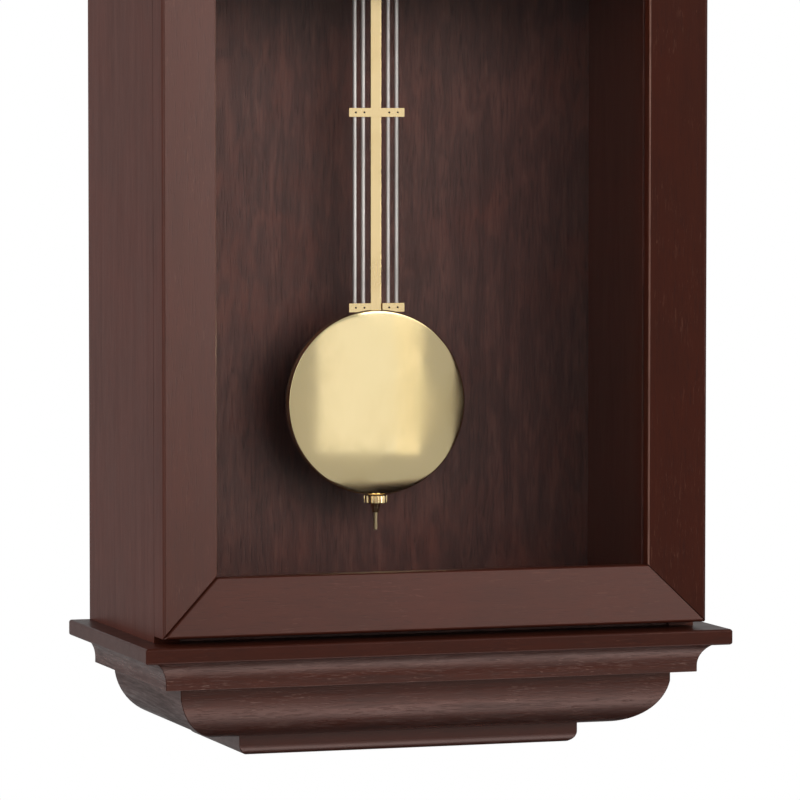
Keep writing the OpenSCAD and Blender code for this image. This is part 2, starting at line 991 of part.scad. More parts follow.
// A round cell with its axis on X
module cell() {
    rotate([0, 90, 0]) cylinder(r = cell_r, h = cell_len);
    translate([cell_len, 0, 0]) rotate([0, 90, 0]) cylinder(r = cell_nub_r, h = cell_nub);
}

// Two cells in the movement's bay and one in the pendulum drive
module batteries() {
    bed = wall + cell_r + slack;
    color(cell_grey) {
        at_movement() for (x = [cell_pair_x, cell_x]) translate([x, bed, cell_z]) cell();
        at_pivot() translate([-cell_len / 2, drive_y + bed, drive_high - drive_cell_in]) cell();
    }
}

module speaker() {
    color(cone_black) at_movement() at_xz(speaker_at) translate([0, box_deep, 0]) rotate([90, 0, 0]) {
        cylinder(r = speaker_r, h = speaker_rim);
        translate([0, 0, speaker_rim])
            cylinder(r1 = speaker_r - speaker_lip, r2 = driver_r, h = cone_h);
        translate([0, 0, speaker_rim + cone_h]) cylinder(r = driver_r, h = driver_h);
    }
}

module volume_slider() {
    inner = [box_deep - loose - slider_flange, box_deep - loose];
    outer = [box_deep + wall + loose, box_deep + wall + loose + slider_proud];
    color(knob_white) at_movement() at_xz(slider_at) {
        box([-slider_half[0], slider_half[0]], inner, [-slider_half[1], slider_half[1]]);
        box([-slider_neck[0], slider_neck[0]], [inner[0], outer[1]], [-slider_neck[1], slider_neck[1]]);
        box([-slider_knob[0], slider_knob[0]], outer, [-slider_knob[1], slider_knob[1]]);
    }
}

// Hollow housing of the pendulum drive, open towards the rail, with a boss for the pivot pin
module drive_housing() {
    color(black) at_pivot() difference() {
        union() {
            difference() {
                box([-drive_hw, drive_hw], [drive_y, rail_y], [-drive_low, drive_high]);
                box([wall - drive_hw, drive_hw - wall], [drive_y + wall, rail_y + over],
                    [wall - drive_low, drive_high - wall]);
            }
            rod_y(drive_boss_r, drive_y, drive_y + drive_boss);
        }
        rod_y(pivot_r + seat, drive_y - over, drive_y + drive_boss + over);
    }
}

module drive_pivot() {
    color(steel) at_pivot() {
        rod_y(pivot_r, lever_y - pivot_play, drive_y + drive_boss);
        rod_y(pivot_r + pivot_rim, lever_y - pivot_play - pivot_head, lever_y - pivot_play);
    }
}

// Lever on the pivot, with its magnet behind and the stub that carries the pendulum in front
module swing_lever() {
    hook_y = pend_y - strip_t / 2 - hook_out;
    color(knob_white) at_pivot() difference() {
        union() {
            along_y(lever_y, lever_y + lever_t) {
                circle(lever_eye);
                translate([-lever_w / 2, -hook_drop]) square([lever_w, hook_drop]);
                translate([0, -hook_drop]) circle(lever_w / 2);
            }
            at_xz([0, -magnet_drop]) rod_y(cup_r, lever_y, lever_y + lever_t + cup_h);
            at_xz([0, -hook_drop]) rod_y(hook_r, hook_y, lever_y);
            at_xz([0, -hook_drop]) rod_y(hook_r + hook_rim, hook_y, hook_y + hook_lip);
        }
        rod_y(pivot_r + slack, lever_y - over, lever_y + lever_t + over);
    }
}

module pendulum_strip() {
    color(brass) hung() along_y(pend_y - strip_t / 2, pend_y + strip_t / 2) difference() {
        union() {
            translate([-strip_w / 2, strip_low]) square([strip_w, hook_z - strip_low]);
            translate([0, hook_z]) circle(strip_w / 2);
        }
        translate([0, hook_z]) circle(hook_r + hook_fit);
        translate([-screw_thread_r, strip_low - over]) square([2 * screw_thread_r, screw_let + over]);
    }
}

// Threaded stub let into the foot of the strip
module rating_screw() {
    color(steel) hung() translate([0, pend_y, 0])
        along_z(screw_tip, strip_low + screw_let) circle(screw_thread_r);
}

module grid_rods() {
    color(steel) hung() for (x = rod_xs)
        translate([x, pend_y, 0]) along_z(rod_low, bar_low + 2 * bar_step + bar_h) circle(rod_r);
}

// Plan of the lowest bar, which steps back behind the strip
module stepped_bar() {
    notch = strip_w / 2 + loose;
    back = pend_y + strip_t / 2 + loose;
    for (s = [0, 1]) mirror([s, 0]) {
        translate([notch, bar_y]) square([bar_hw - notch, bar_t]);
        translate([notch, bar_y]) square([bar_t, back + bar_t - bar_y]);
    }
    translate([-notch - bar_t, back]) square([2 * (notch + bar_t), bar_t]);
}

// Three cross bars with the pin holes that fix the rods, the lowest arched over the bob
module grid_bars() {
    color(brass) hung() difference() {
        union() {
            along_z(bar_low, bar_low + bar_h) stepped_bar();
            for (i = [1, 2])
                box([-bar_hw, bar_hw], [bar_y, bar_y + bar_t],
                    [bar_low + i * bar_step, bar_low + i * bar_step + bar_h]);
        }
        for (i = [0 : 2], x = rod_xs)
            at_xz([x, bar_low + i * bar_step + bar_h / 2])
                rod_y(bar_pin_r, bar_y - over, bar_y + bar_t / 2);
        at_xz([0, bob_height]) rod_y(bob_r + loose, bar_y - over, pend_y + strip_t + bar_t + over);
    }
}

// Half section of the dome: a shallow arc that turns into the rim, and the skirt behind it
module dome_section(r, rim, big) {
    turn = big * (r - rim) / (big - rim);
    translate([0, -skirt]) square([r, skirt]);
    translate([r - rim, 0]) intersection() {
        circle(rim);
        square(rim);
    }
    intersection() {
        translate([0, -dome_drop]) circle(big);
        square([turn, bob_r]);
    }
}

// Hollow face of the bob, slotted for the strip and drilled for the rating screw
module bob_shell() {
    color(brass) hung() translate([0, 0, bob_height]) difference() {
        translate([0, skirt_y - skirt, 0]) rotate([90, 0, 0]) rotate_extrude() difference() {
            dome_section(bob_r, rim_r, dome_r);
            translate([0, -over]) dome_section(bob_r - shell_t, rim_r - shell_t, dome_r - shell_t);
            translate([0, -skirt - over]) square([bob_r - shell_t, skirt]);
        }
        box([-strip_w / 2 - loose, strip_w / 2 + loose],
            [pend_y - strip_t / 2 - loose, pend_y + strip_t / 2 + loose], [bob_r - bob_slot, bob_r + over]);
        translate([0, pend_y, 0])
            along_z(-bob_r - over, bob_slot - bob_r) circle(screw_thread_r + screw_fit);
    }
}

module bob_back() {
    color(brass) hung() translate([0, 0, bob_height])
        rod_y(bob_r - bob_back_in, skirt_y, skirt_y + bob_back_t);
}

// Fluted nut with a tapered hub below that ends in a small ring
module rating_nut() {
    color(brass) hung() translate([0, pend_y, nut_top]) difference() {
        union() {
            translate([0, 0, -nut_h]) cylinder(r = nut_r, h = nut_h);
            translate([0, 0, -nut_h - nut_hub])
                cylinder(r1 = nut_hub_tip, r2 = nut_hub_root, h = nut_hub);
            translate([0, 0, -nut_h - nut_hub]) cylinder(r = nut_ring_r, h = nut_ring_h);
        }
        along_z(-nut_h - nut_hub - over, over) circle(screw_thread_r + slack);
        along_z(-nut_h - over, over) for (i = [0 : knurls - 1])
            translate(polar(nut_r + knurl_out, i * 360 / knurls)) circle(knurl_r);
    }
}

// A pierced spade hand that points up before it is turned
module hand(len, hub, bore) {
    leaf = len * leaf_share;
    neck = len * leaf_neck;
    neck_at = leaf + len * leaf_pierced;
    tail = len * tail_share;
    stem = len * stem_share;
    difference() {
        union() {
            circle(hub);
            polygon([[-stem_root, -tail], [stem_root, -tail], [stem_tip, stem], [-stem_tip, stem]]);
            translate([0, leaf]) circle(len * leaf_wide);
            polygon([[-neck, neck_at], [neck, neck_at], [hand_point, len], [-hand_point, len]]);
            translate([0, -tail]) circle(hub * tail_disc);
        }
        circle(bore);
        translate([0, leaf]) circle(len * leaf_pierced);
    }
}

module hour_hand() {
    color(black) at_movement() along_y(hour_t, hour_t + hand_t)
        rotate(-hour_angle) hand(hour_len, hour_hub, pipe_r + seat);
}

// The minute hand and the cap that holds it on the cannon's tip
module minute_hand() {
    color(black) at_movement() {
        along_y(minute_t, minute_t + hand_t)
            rotate(-minute_angle) hand(minute_len, minute_hub, tip_r + seat);
        difference() {
            rod_y(cap_r, minute_t - cap_h, minute_t);
            rod_y(tip_r + seat, minute_t - tip_out, minute_t + over);
        }
    }
}

module hour_wheel() {
    end = hour_wheel_t + wheel_w;
    color(gear_white) at_movement() difference() {
        union() {
            gear(hour_n, hour_m, hour_phase, hour_wheel_t, end);
            rod_y(pipe_r, hour_t - pipe_out, end);
        }
        rod_y(cannon_r + slack, hour_t - over, end + over);
    }
}

module minute_cannon() {
    color(brass) at_movement() {
        rod_y(tip_r, minute_t - tip_out, minute_t + tip_back);
        rod_y(cannon_r, minute_t + tip_back, cannon_end);
        gear(cannon_n, motion_m, 0, cannon_wheel_t, cannon_wheel_t + pinion_w);
        rod_y(arbor_r, cannon_end, arbor_end);
    }
}

module minute_wheel() {
    end = minute_wheel_t + wheel_w;
    color(gear_white) at_movement() at_xz(minute_at) difference() {
        union() {
            gear(minute_n, motion_m, minute_phase, minute_wheel_t, end);
            gear(minute_pinion_n, hour_m, 0, minute_pinion_t, minute_wheel_t);
        }
        rod_y(post_r + slack, minute_pinion_t - over, end + over);
    }
}

module setting_knob() {
    pinion_end = cannon_wheel_t + pinion_w;
    knob = box_deep + wall + setting_gap;
    color(knob_white) at_movement() at_xz(setting_at) {
        rod_y(arbor_r, arbor_t, cannon_wheel_t);
        gear(setting_n, motion_m, setting_phase, cannon_wheel_t, pinion_end);
        rod_y(boss_r, pinion_end, knob);
        rod_y(setting_r, knob, knob + setting_h);
    }
}

module centre_wheel() {
    hub_end = centre_hub_t + centre_hub_h;
    color(gear_white) at_movement() difference() {
        union() {
            gear(centre_n, centre_m, 0, centre_wheel_t, centre_wheel_t + wheel_w);
            rod_y(centre_hub_r, centre_hub_t, hub_end);
        }
        rod_y(cannon_r + slack, centre_hub_t - over, hub_end + over);
    }
}

// An arbor with a pinion in front and a wheel behind it
module train_wheel(at, pinion_m, phase, n, m, t) {
    color(gear_white) at_movement() at_xz(at) {
        rod_y(arbor_r, arbor_t, arbor_end);
        gear(pinion_n, pinion_m, phase, t, t + pinion_w);
        gear(n, m, 0, t + wheel_step, t + wheel_step + wheel_w);
    }
}

module third_wheel() {
    train_wheel(third_at, centre_m, third_phase, third_n, third_m, third_t);
}

module fourth_wheel() {
    train_wheel(fourth_at, third_m, fourth_phase, fourth_n, fourth_m, fourth_t);
}

// Permanent magnet rotor with its pinion
module rotor() {
    color(magnet_grey) at_movement() at_xz(rotor_at) {
        rod_y(arbor_r, arbor_t, arbor_end);
        gear(pinion_n, fourth_m, rotor_phase, rotor_t, rotor_t + pinion_w);
        rod_y(magnet_r, magnet_t, magnet_t + magnet_h);
    }
}

side_left();
side_right();
back_boards();
access_panel();
back_screws();
end_boards();
base_ledge();
base_cove();
base_ovolo();
base_plinth();
crown_ledge();
crown_cove();
crown_ovolo();
crown_cap();
hanging_rail();
hanger_plate();
hinge_case_leaves();
hinge_pins();
catch_body();
dial_cleats();
dial_board();
dial_plate();
dial_bezel();
bushing_nut();
movement_front();
movement_rear();
circuit_board();
coils();
motor_stator();
batteries();
speaker();
drive_housing();
drive_pivot();
door_stile_left();
door_stile_right();
door_rail_top();
door_rail_bottom();
door_glass();
glass_beads();
hinge_door_leaves();
strike_plate();
swing_lever();
pendulum_strip();
grid_rods();
grid_bars();
rating_screw();
bob_shell();
bob_back();
rating_nut();
minute_hand();
minute_cannon();
hour_hand();
hour_wheel();
minute_wheel();
setting_knob();
centre_wheel();
third_wheel();
fourth_wheel();
rotor();
volume_slider();
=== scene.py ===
"""Looks of a chiming wall clock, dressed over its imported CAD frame.

The clock is a long glazed wooden case between two stacked mouldings, with a square dial, a battery
chime movement behind it and a brass and steel grid pendulum. Lengths are in metres. X runs to the
viewer's right, Y back into the wall and Z up, from the round hole of the keyhole hanger.
"""

import json
import logging
import math
from collections.abc import Callable, Iterator, Sequence
from contextlib import contextmanager
from dataclasses import dataclass, replace
from enum import Enum

import bmesh
import bpy
from mathutils import Matrix, Vector


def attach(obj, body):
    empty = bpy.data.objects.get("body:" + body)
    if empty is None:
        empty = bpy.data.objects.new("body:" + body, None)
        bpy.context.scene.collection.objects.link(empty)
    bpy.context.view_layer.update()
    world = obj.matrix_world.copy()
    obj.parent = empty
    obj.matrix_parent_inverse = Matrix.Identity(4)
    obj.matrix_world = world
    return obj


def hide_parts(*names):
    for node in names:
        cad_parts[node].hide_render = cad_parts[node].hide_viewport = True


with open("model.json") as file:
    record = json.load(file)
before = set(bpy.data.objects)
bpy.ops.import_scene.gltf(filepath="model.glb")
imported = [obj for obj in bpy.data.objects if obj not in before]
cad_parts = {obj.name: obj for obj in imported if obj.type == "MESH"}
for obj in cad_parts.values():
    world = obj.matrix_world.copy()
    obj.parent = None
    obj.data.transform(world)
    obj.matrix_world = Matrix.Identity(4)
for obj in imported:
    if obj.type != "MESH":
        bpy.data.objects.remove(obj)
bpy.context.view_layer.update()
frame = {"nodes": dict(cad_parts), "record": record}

LOG = logging.getLogger("wall_clock")
MM = 0.001
FRONT = (0.0, -1.0, 0.0)
BACK = (0.0, 1.0, 0.0)
UP = (0.0, 0.0, 1.0)
MIDDLE = (0.0, 0.0, 0.0)
WHITE = (1.0, 1.0, 1.0)
# Points nearer to each other than this are one, in new meshes and in copies of CAD nodes
WELD = 0.001 * MM
CAD_WELD = 0.002 * MM
# Faces of a CAD copy that bend less than this are one face
FLAT_ANGLE = 0.6
# Edges that bend more than this are eased, and shade as edges
EDGE_ANGLE = 32.0
BODY_OF = {
    node: body
    for body, nodes in frame["record"]["behaviour"]["bodies"].items()
    for node in nodes
}
SLOT_OF = {part["node"]: part["material_slot"] for part in frame["record"]["subparts"]}

Piece = bpy.types.Object
Node = bpy.types.Node
Socket = bpy.types.NodeSocket
Colour = tuple[float, float, float]
Point = tuple[float, float, float]
Span = tuple[float, float]
EdgeTest = Callable[[Vector, Sequence[Vector]], bool]


def linear(red: int, green: int, blue: int) -> Colour:
    """Turns a screen colour into the light values that a shader takes.

    Args:
        red: red share, 0 to 255.
        green: green share, 0 to 255.
        blue: blue share, 0 to 255.

    Returns:
        The three linear values.
    """
    first, second, third = (
        share / 12.92 if share <= 0.04045 else ((share + 0.055) / 1.055) ** 2.4
        for share in (red / 255, green / 255, blue / 255)
    )
    return first, second, third


# Surface patterns and finishes


class Grain(Enum):
    """The way that a board's grain or a metal's brushing runs."""

    ACROSS = 0
    INWARD = 1
    UPRIGHT = 2

    def stretch(self, times: float) -> Point:
        """Gives the scale that draws a pattern out along this way, times over."""
        scale = [times, times, times]
        scale[self.value] = 1.0
        return scale[0], scale[1], scale[2]


class Graph:
    """A shader tree, with short calls that add nodes to it and join them."""

    def __init__(self, tree: bpy.types.NodeTree) -> None:
        """Keeps the tree."""
        self.tree = tree

    def add(self, kind: str, **settings: object) -> Node:
        """Adds a node.

        Args:
            kind: Blender's name of the node type.
            settings: properties to set on it.

        Returns:
            The node.
        """
        node = self.tree.nodes.new(kind)
        for key, value in settings.items():
            setattr(node, key, value)
        return node

    def feed(self, socket: Socket, value: object) -> None:
        """Joins a socket to another one, or sets it to a number, vector or colour.

        Args:
            socket: the input to fill.
            value: an output socket or a plain value.
        """
        if isinstance(value, Socket):
            self.tree.links.new(value, socket)
        elif socket.type == "RGBA":
            socket.default_value = (*value, 1.0)
        else:
            socket.default_value = value

    def noise(
        self, vector: Socket, scale: float, detail: float = 2.0, wander: float = 0.0
    ) -> Socket:
        """Adds a noise pattern.

        Args:
            vector: coordinates.
            scale: patches to a metre.
            detail: octaves of finer noise.
            wander: how far it is distorted.

        Returns:
            Its value, about 0.3 to 0.7.
        """
        node = self.add("ShaderNodeTexNoise")
        self.feed(node.inputs["Vector"], vector)
        self.feed(node.inputs["Scale"], scale)
        self.feed(node.inputs["Detail"], detail)
        self.feed(node.inputs["Distortion"], wander)
        return node.outputs[0]

    def span(
        self,
        value: Socket,
        low: float,
        high: float,
        to_low: float = 0.0,
        to_high: float = 1.0,
    ) -> Socket:
        """Maps a range of values onto another and clamps it.

        Args:
            value: the value to map.
            low: lower end of its range.
            high: upper end of its range.
            to_low: what the lower end becomes.
            to_high: what the upper end becomes.

        Returns:
            The mapped value.
        """
        node = self.add("ShaderNodeMapRange", clamp=True)
        for name, number in zip(
            ("From Min", "From Max", "To Min", "To Max"), (low, high, to_low, to_high)
        ):
            self.feed(node.inputs[name], number)
        self.feed(node.inputs["Value"], value)
        return node.outputs[0]

    def sums(self, operation: str, first: object, second: object) -> Socket:
        """Works out one sum.

        Args:
            operation: Blender's name of the operation.
            first: a socket or number.
            second: a socket or number.

        Returns:
            The result.
        """
        node = self.add("ShaderNodeMath", operation=operation)
        self.feed(node.inputs[0], first)
        self.feed(node.inputs[1], second)
        return node.outputs[0]

    def mix(self, share: object, first: object, second: object) -> Socket:
        """Mixes two colours.

        Args:
            share: how much of the second one is taken.
            first: a colour or a socket.
            second: a colour or a socket.

        Returns:
            The mixed colour.
        """
        node = self.add("ShaderNodeMix", data_type="RGBA")
        self.feed(node.inputs[0], share)
        self.feed(node.inputs[6], first)
        self.feed(node.inputs[7], second)
        return node.outputs[2]

    def mapped(self, scale: Point = (1.0, 1.0, 1.0), shift: Point = MIDDLE) -> Socket:
        """Gives Object coordinates through a Mapping node.

        Args:
            scale: scale of each axis.
            shift: shift of each axis, after scaling.

        Returns:
            The coordinates.
        """
        place = self.add("ShaderNodeTexCoord")
        mapping = self.add("ShaderNodeMapping")
        self.feed(mapping.inputs["Vector"], place.outputs["Object"])
        self.feed(mapping.inputs["Scale"], scale)
        self.feed(mapping.inputs["Location"], shift)
        return mapping.outputs[0]

    def pattern(self, group: bpy.types.NodeTree, **inputs: object) -> dict[str, Socket]:
        """Places a shared pattern.

        Args:
            group: the pattern's node group.
            inputs: values of its inputs, by name.

        Returns:
            Its outputs, by name.
        """
        node = self.add("ShaderNodeGroup", node_tree=group)
        for name, value in inputs.items():
            self.feed(node.inputs[name], value)
        return {socket.name: socket for socket in node.outputs}

    def either(self, share: object, first: Node, second: Node) -> Node:
        """Mixes two shaders.

        Args:
            share: how much of the second one is taken.
            first: a shader.
            second: a shader.

        Returns:
            The mixed shader.
        """
        node = self.add("ShaderNodeMixShader")
        self.feed(node.inputs[0], share)
        self.feed(node.inputs[1], first.outputs[0])
        self.feed(node.inputs[2], second.outputs[0])
        return node

    def show(self, shader: Node) -> None:
        """Makes a shader the one that the material shows."""
        ending = next(n for n in self.tree.nodes if n.type == "OUTPUT_MATERIAL")
        self.feed(ending.inputs["Surface"], shader.outputs[0])

    def bump(self, shader: Node, height: Socket, strength: float, depth: float) -> None:
        """Roughens a shader's surface.

        Args:
            shader: the Principled node.
            height: the pattern that is raised.
            strength: share of the effect.
            depth: height of the pattern, in metres.
        """
        node = self.add("ShaderNodeBump")
        self.feed(node.inputs["Strength"], strength)
        self.feed(node.inputs["Distance"], depth)
        self.feed(node.inputs["Height"], height)
        self.feed(shader.inputs["Normal"], node.outputs[0])


def shared_pattern(
    name: str, inputs: Sequence[str], outputs: Sequence[str], fill: Callable[..., dict[str, object]]
) -> bpy.types.NodeTree:
    """Builds a node group once and gives it back after that.

    Args:
        name: the group's name.
        inputs: names of its vector inputs.
        outputs: names of its value outputs.
        fill: builds the inside from the graph and the inputs, and returns the outputs' sockets.

    Returns:
        The group.
    """
    tree = bpy.data.node_groups.get(name)
    if tree is not None:
        return tree
    tree = bpy.data.node_groups.new(name, "ShaderNodeTree")
    for label in inputs:
        tree.interface.new_socket(label, in_out="INPUT", socket_type="NodeSocketVector")
    for label in outputs:
        tree.interface.new_socket(label, in_out="OUTPUT", socket_type="NodeSocketFloat")
    graph = Graph(tree)
    ways_in = graph.add("NodeGroupInput")
    ways_out = graph.add("NodeGroupOutput")
    made = fill(graph, *(ways_in.outputs[label] for label in inputs))
    for label in outputs:
        graph.feed(ways_out.inputs[label], made[label])
    return tree


def wood_figure() -> bpy.types.NodeTree:
    """Gives the pattern of stained wood: figure, stain, mottle, pores, flecks and height."""

    def fill(
        graph: Graph,
        grain: Socket,
        soft: Socket,
        place: Socket,
    ) -> dict[str, object]:
        """Builds the pattern from coordinates that are stretched much, a little and not at all."""
        broad = graph.noise(grain, scale=9.0, detail=4.0, wander=0.8)
        fine = graph.noise(grain, scale=62.0, detail=3.0, wander=0.3)
        streaks = graph.sums(
            "ADD", graph.sums("MULTIPLY", broad, 0.55), graph.sums("MULTIPLY", fine, 0.45)
        )
        pores = graph.span(graph.noise(grain, scale=118.0, detail=1.5), 0.585, 0.67)
        sparse = graph.span(graph.noise(place, scale=55.0, detail=1.0), 0.46, 0.6)
        ticks = graph.span(graph.noise(grain, scale=96.0, detail=1.0, wander=1.6), 0.635, 0.70)
        height = graph.sums(
            "SUBTRACT", graph.sums("MULTIPLY", fine, 0.5), graph.sums("MULTIPLY", pores, 0.8)
        )
        return {
            "Figure": graph.span(streaks, 0.36, 0.64),
            "Stain": graph.span(graph.noise(place, scale=17.0, detail=3.0, wander=0.5), 0.42, 0.66),
            "Mottle": graph.span(graph.noise(soft, scale=34.0, detail=6.0, wander=1.2), 0.42, 0.6),
            "Pores": pores,
            "Flecks": graph.sums("MULTIPLY", ticks, sparse),
            "Height": height,
        }

    outputs = ("Figure", "Stain", "Mottle", "Pores", "Flecks", "Height")
    return shared_pattern("wood_figure", ("Grain", "Soft", "Place"), outputs, fill)


def brushed_lines() -> bpy.types.NodeTree:
    """Gives the pattern of handled metal: fine lines, cloudy smudges and height."""

    def fill(graph: Graph, grain: Socket, place: Socket) -> dict[str, object]:
        """Builds the pattern from stretched and plain coordinates."""
        lines = graph.noise(grain, scale=55.0, detail=3.0)
        return {
            "Lines": graph.span(lines, 0.3, 0.7),
            "Smudge": graph.span(graph.noise(place, scale=24.0, detail=3.0, wander=0.4), 0.42, 0.7),
            "Height": lines,
        }

    return shared_pattern("brushed_lines", ("Grain", "Place"), ("Lines", "Smudge", "Height"), fill)


def fine_speckle() -> bpy.types.NodeTree:
    """Gives the pattern of moulded or painted skins: speckle, clouds and height."""

    def fill(graph: Graph, place: Socket) -> dict[str, object]:
        """Builds the pattern from plain coordinates."""
        speckle = graph.noise(place, scale=1900.0, detail=2.0)
        return {
            "Speckle": graph.span(speckle, 0.35, 0.65),
            "Clouds": graph.span(graph.noise(place, scale=21.0, detail=3.0), 0.4, 0.66),
            "Height": speckle,
        }

    return shared_pattern("fine_speckle", ("Place",), ("Speckle", "Clouds", "Height"), fill)


def blank_material(name: str) -> tuple[Graph, Node]:
    """Makes a material with nothing but a Principled shader.

    Args:
        name: the material's name.

    Returns:
        Its graph and the shader.
    """
    material = bpy.data.materials.new(name)
    material.use_nodes = True
    graph = Graph(material.node_tree)
    shader = next(n for n in material.node_tree.nodes if n.type == "BSDF_PRINCIPLED")
    return graph, shader


@dataclass(frozen=True)
class Finish:
    """What a piece is finished with.

    Attributes:
        name: what the finish is called.
    """

    name: str

    @property
    def title(self) -> str:
        """Gives the material's name."""
        return self.name

    def fill(self, graph: Graph, shader: Node) -> None:
        """Builds the finish.

        Args:
            graph: the graph of an empty material.
            shader: its Principled shader.
        """
        raise NotImplementedError

    def material(self) -> bpy.types.Material:
        """Gives the material, built the first time that it is asked for."""
        if self.title not in bpy.data.materials:
            self.fill(*blank_material(self.title))
        return bpy.data.materials[self.title]


@dataclass(frozen=True)
class WoodFinish(Finish):
    """Dark stained wood under a satin lacquer.

    Attributes:
        name: what the finish is called.
        grain: the way that the grain runs.
        seed: shift of the figure, so that boards differ.
        dark: colour of the dark streaks.
        body: colour of the pale streaks.
        warm: colour of the redder patches.
        fleck: colour of the short pale ticks.
        stain: how strongly the redder patches show.
        mottle: how strongly the dull patches show.
        pores: how strongly the dark pores show.
        flecks: how strongly the ticks show.
        roughness: roughness of the lacquer.
        streaks: how much the figure shows in the gloss.
        relief: how much the figure can be felt.
        specular: strength of the lacquer's gloss.
        tint: colour that the lacquer gives its gloss.
        pore: colour of the pores.
        drawn: how far the figure is drawn out along the grain.
        soft_drawn: how far the dull patches are drawn out along the grain.
        depth: depth of the figure that can be felt.
    """

    name: str = "case_wood"
    grain: Grain = Grain.UPRIGHT
    seed: float = 0.0
    dark: Colour = linear(55, 23, 15)
    body: Colour = linear(63, 27, 17)
    warm: Colour = linear(68, 26, 15)
    fleck: Colour = linear(100, 64, 52)
    stain: float = 0.4
    mottle: float = 0.12
    pores: float = 0.3
    flecks: float = 0.3
    roughness: float = 0.34
    streaks: float = 0.03
    relief: float = 0.15
    specular: float = 0.45
    tint: Colour = (1.0, 0.76, 0.7)
    pore: Colour = linear(32, 17, 15)
    drawn: float = 13.0
    soft_drawn: float = 3.2
    depth: float = 0.15 * MM

    def along(
        self, grain: Grain, seed: float, tone: float = 1.0, gloss: float = 1.0
    ) -> "WoodFinish":
        """Gives another board of the same wood.

        Args:
            grain: the way that its grain runs.
            seed: shift of its figure.
            tone: how much lighter than the others its colour is made; on some boards this paints
                the light and shade that falls on them.
            gloss: how much of the lacquer's gloss it has.

        Returns:
            The board's finish.
        """
        dark, body, warm = (
            (tone * red, tone * green, tone * blue)
            for red, green, blue in (self.dark, self.body, self.warm)
        )
        specular = gloss * self.specular
        return replace(
            self, grain=grain, seed=seed, dark=dark, body=body, warm=warm, specular=specular
        )

    @property
    def title(self) -> str:
        """Gives the material's name, one for each board."""
        return f"{self.name}_{self.grain.name.lower()}_{self.seed:g}"

    def fill(self, graph: Graph, shader: Node) -> None:
        """Builds the figure, its colours, the gloss and the relief.

        Args:
            graph: the graph of an empty material.
            shader: its Principled shader.
        """
        shift = (self.seed, self.seed * 1.7, self.seed * 2.3)
        figure = graph.pattern(
            wood_figure(),
            Grain=graph.mapped(self.grain.stretch(self.drawn), shift),
            Soft=graph.mapped(self.grain.stretch(self.soft_drawn), shift),
            Place=graph.mapped(shift=shift),
        )
        colour = graph.mix(figure["Figure"], self.dark, self.body)
        for mask, share, paint in (
            ("Stain", self.stain, self.warm),
            ("Mottle", self.mottle, self.dark),
            ("Pores", self.pores, self.pore),
            ("Flecks", self.flecks, self.fleck),
        ):
            colour = graph.mix(graph.sums("MULTIPLY", figure[mask], share), colour, paint)
        graph.feed(shader.inputs["Base Color"], colour)
        dull, glossy = self.roughness + self.streaks, self.roughness - self.streaks
        graph.feed(
            shader.inputs["Roughness"], graph.span(figure["Figure"], 0.0, 1.0, dull, glossy)
        )
        shader.inputs["Specular IOR Level"].default_value = self.specular
        graph.feed(shader.inputs["Specular Tint"], self.tint)
        graph.bump(shader, figure["Height"], self.relief, self.depth)


@dataclass(frozen=True)
class MetalFinish(Finish):
    """Bare metal with fine brushing and some smudges.

    Attributes:
        name: what the finish is called.
        colour: colour of the clean metal.
        shade: colour where it is smudged.
        grain: the way that the brushing runs.
        roughness: roughness of the clean metal.
        lines: strength of the brushing.
        drawn: how far the brushing is drawn out.
        smudge: share of the shade that the smudges take.
        score: share of the shade that the lines take.
        polish: how much smoother the clean metal is.
        tarnish: how much rougher the shaded metal is.
        depth: depth of the brushing.
    """

    colour: Colour
    shade: Colour
    grain: Grain = Grain.UPRIGHT
    roughness: float = 0.2
    lines: float = 0.25
    drawn: float = 45.0
    smudge: float = 0.3
    score: float = 0.12
    polish: float = 0.03
    tarnish: float = 0.1
    depth: float = 0.02 * MM

    @property
    def title(self) -> str:
        """Gives the material's name, one for each way of brushing."""
        return f"{self.name}_{self.grain.name.lower()}"

    def fill(self, graph: Graph, shader: Node) -> None:
        """Builds the brushing, the smudges and their gloss.

        Args:
            graph: the graph of an empty material.
            shader: its Principled shader.
        """
        brushing = graph.pattern(
            brushed_lines(),
            Grain=graph.mapped(self.grain.stretch(self.drawn)),
            Place=graph.mapped(),
        )
        cover = graph.sums("MULTIPLY", brushing["Smudge"], self.smudge)
        scored = graph.sums("MULTIPLY", brushing["Lines"], self.score)
        cover = graph.sums("ADD", cover, scored)
        graph.feed(shader.inputs["Base Color"], graph.mix(cover, self.colour, self.shade))
        shader.inputs["Metallic"].default_value = 1.0
        clean, stained = self.roughness - self.polish, self.roughness + self.tarnish
        graph.feed(
            shader.inputs["Roughness"],
            graph.span(cover, 0.0, self.smudge + self.score, clean, stained),
        )
        graph.bump(shader, brushing["Height"], self.lines, self.depth)


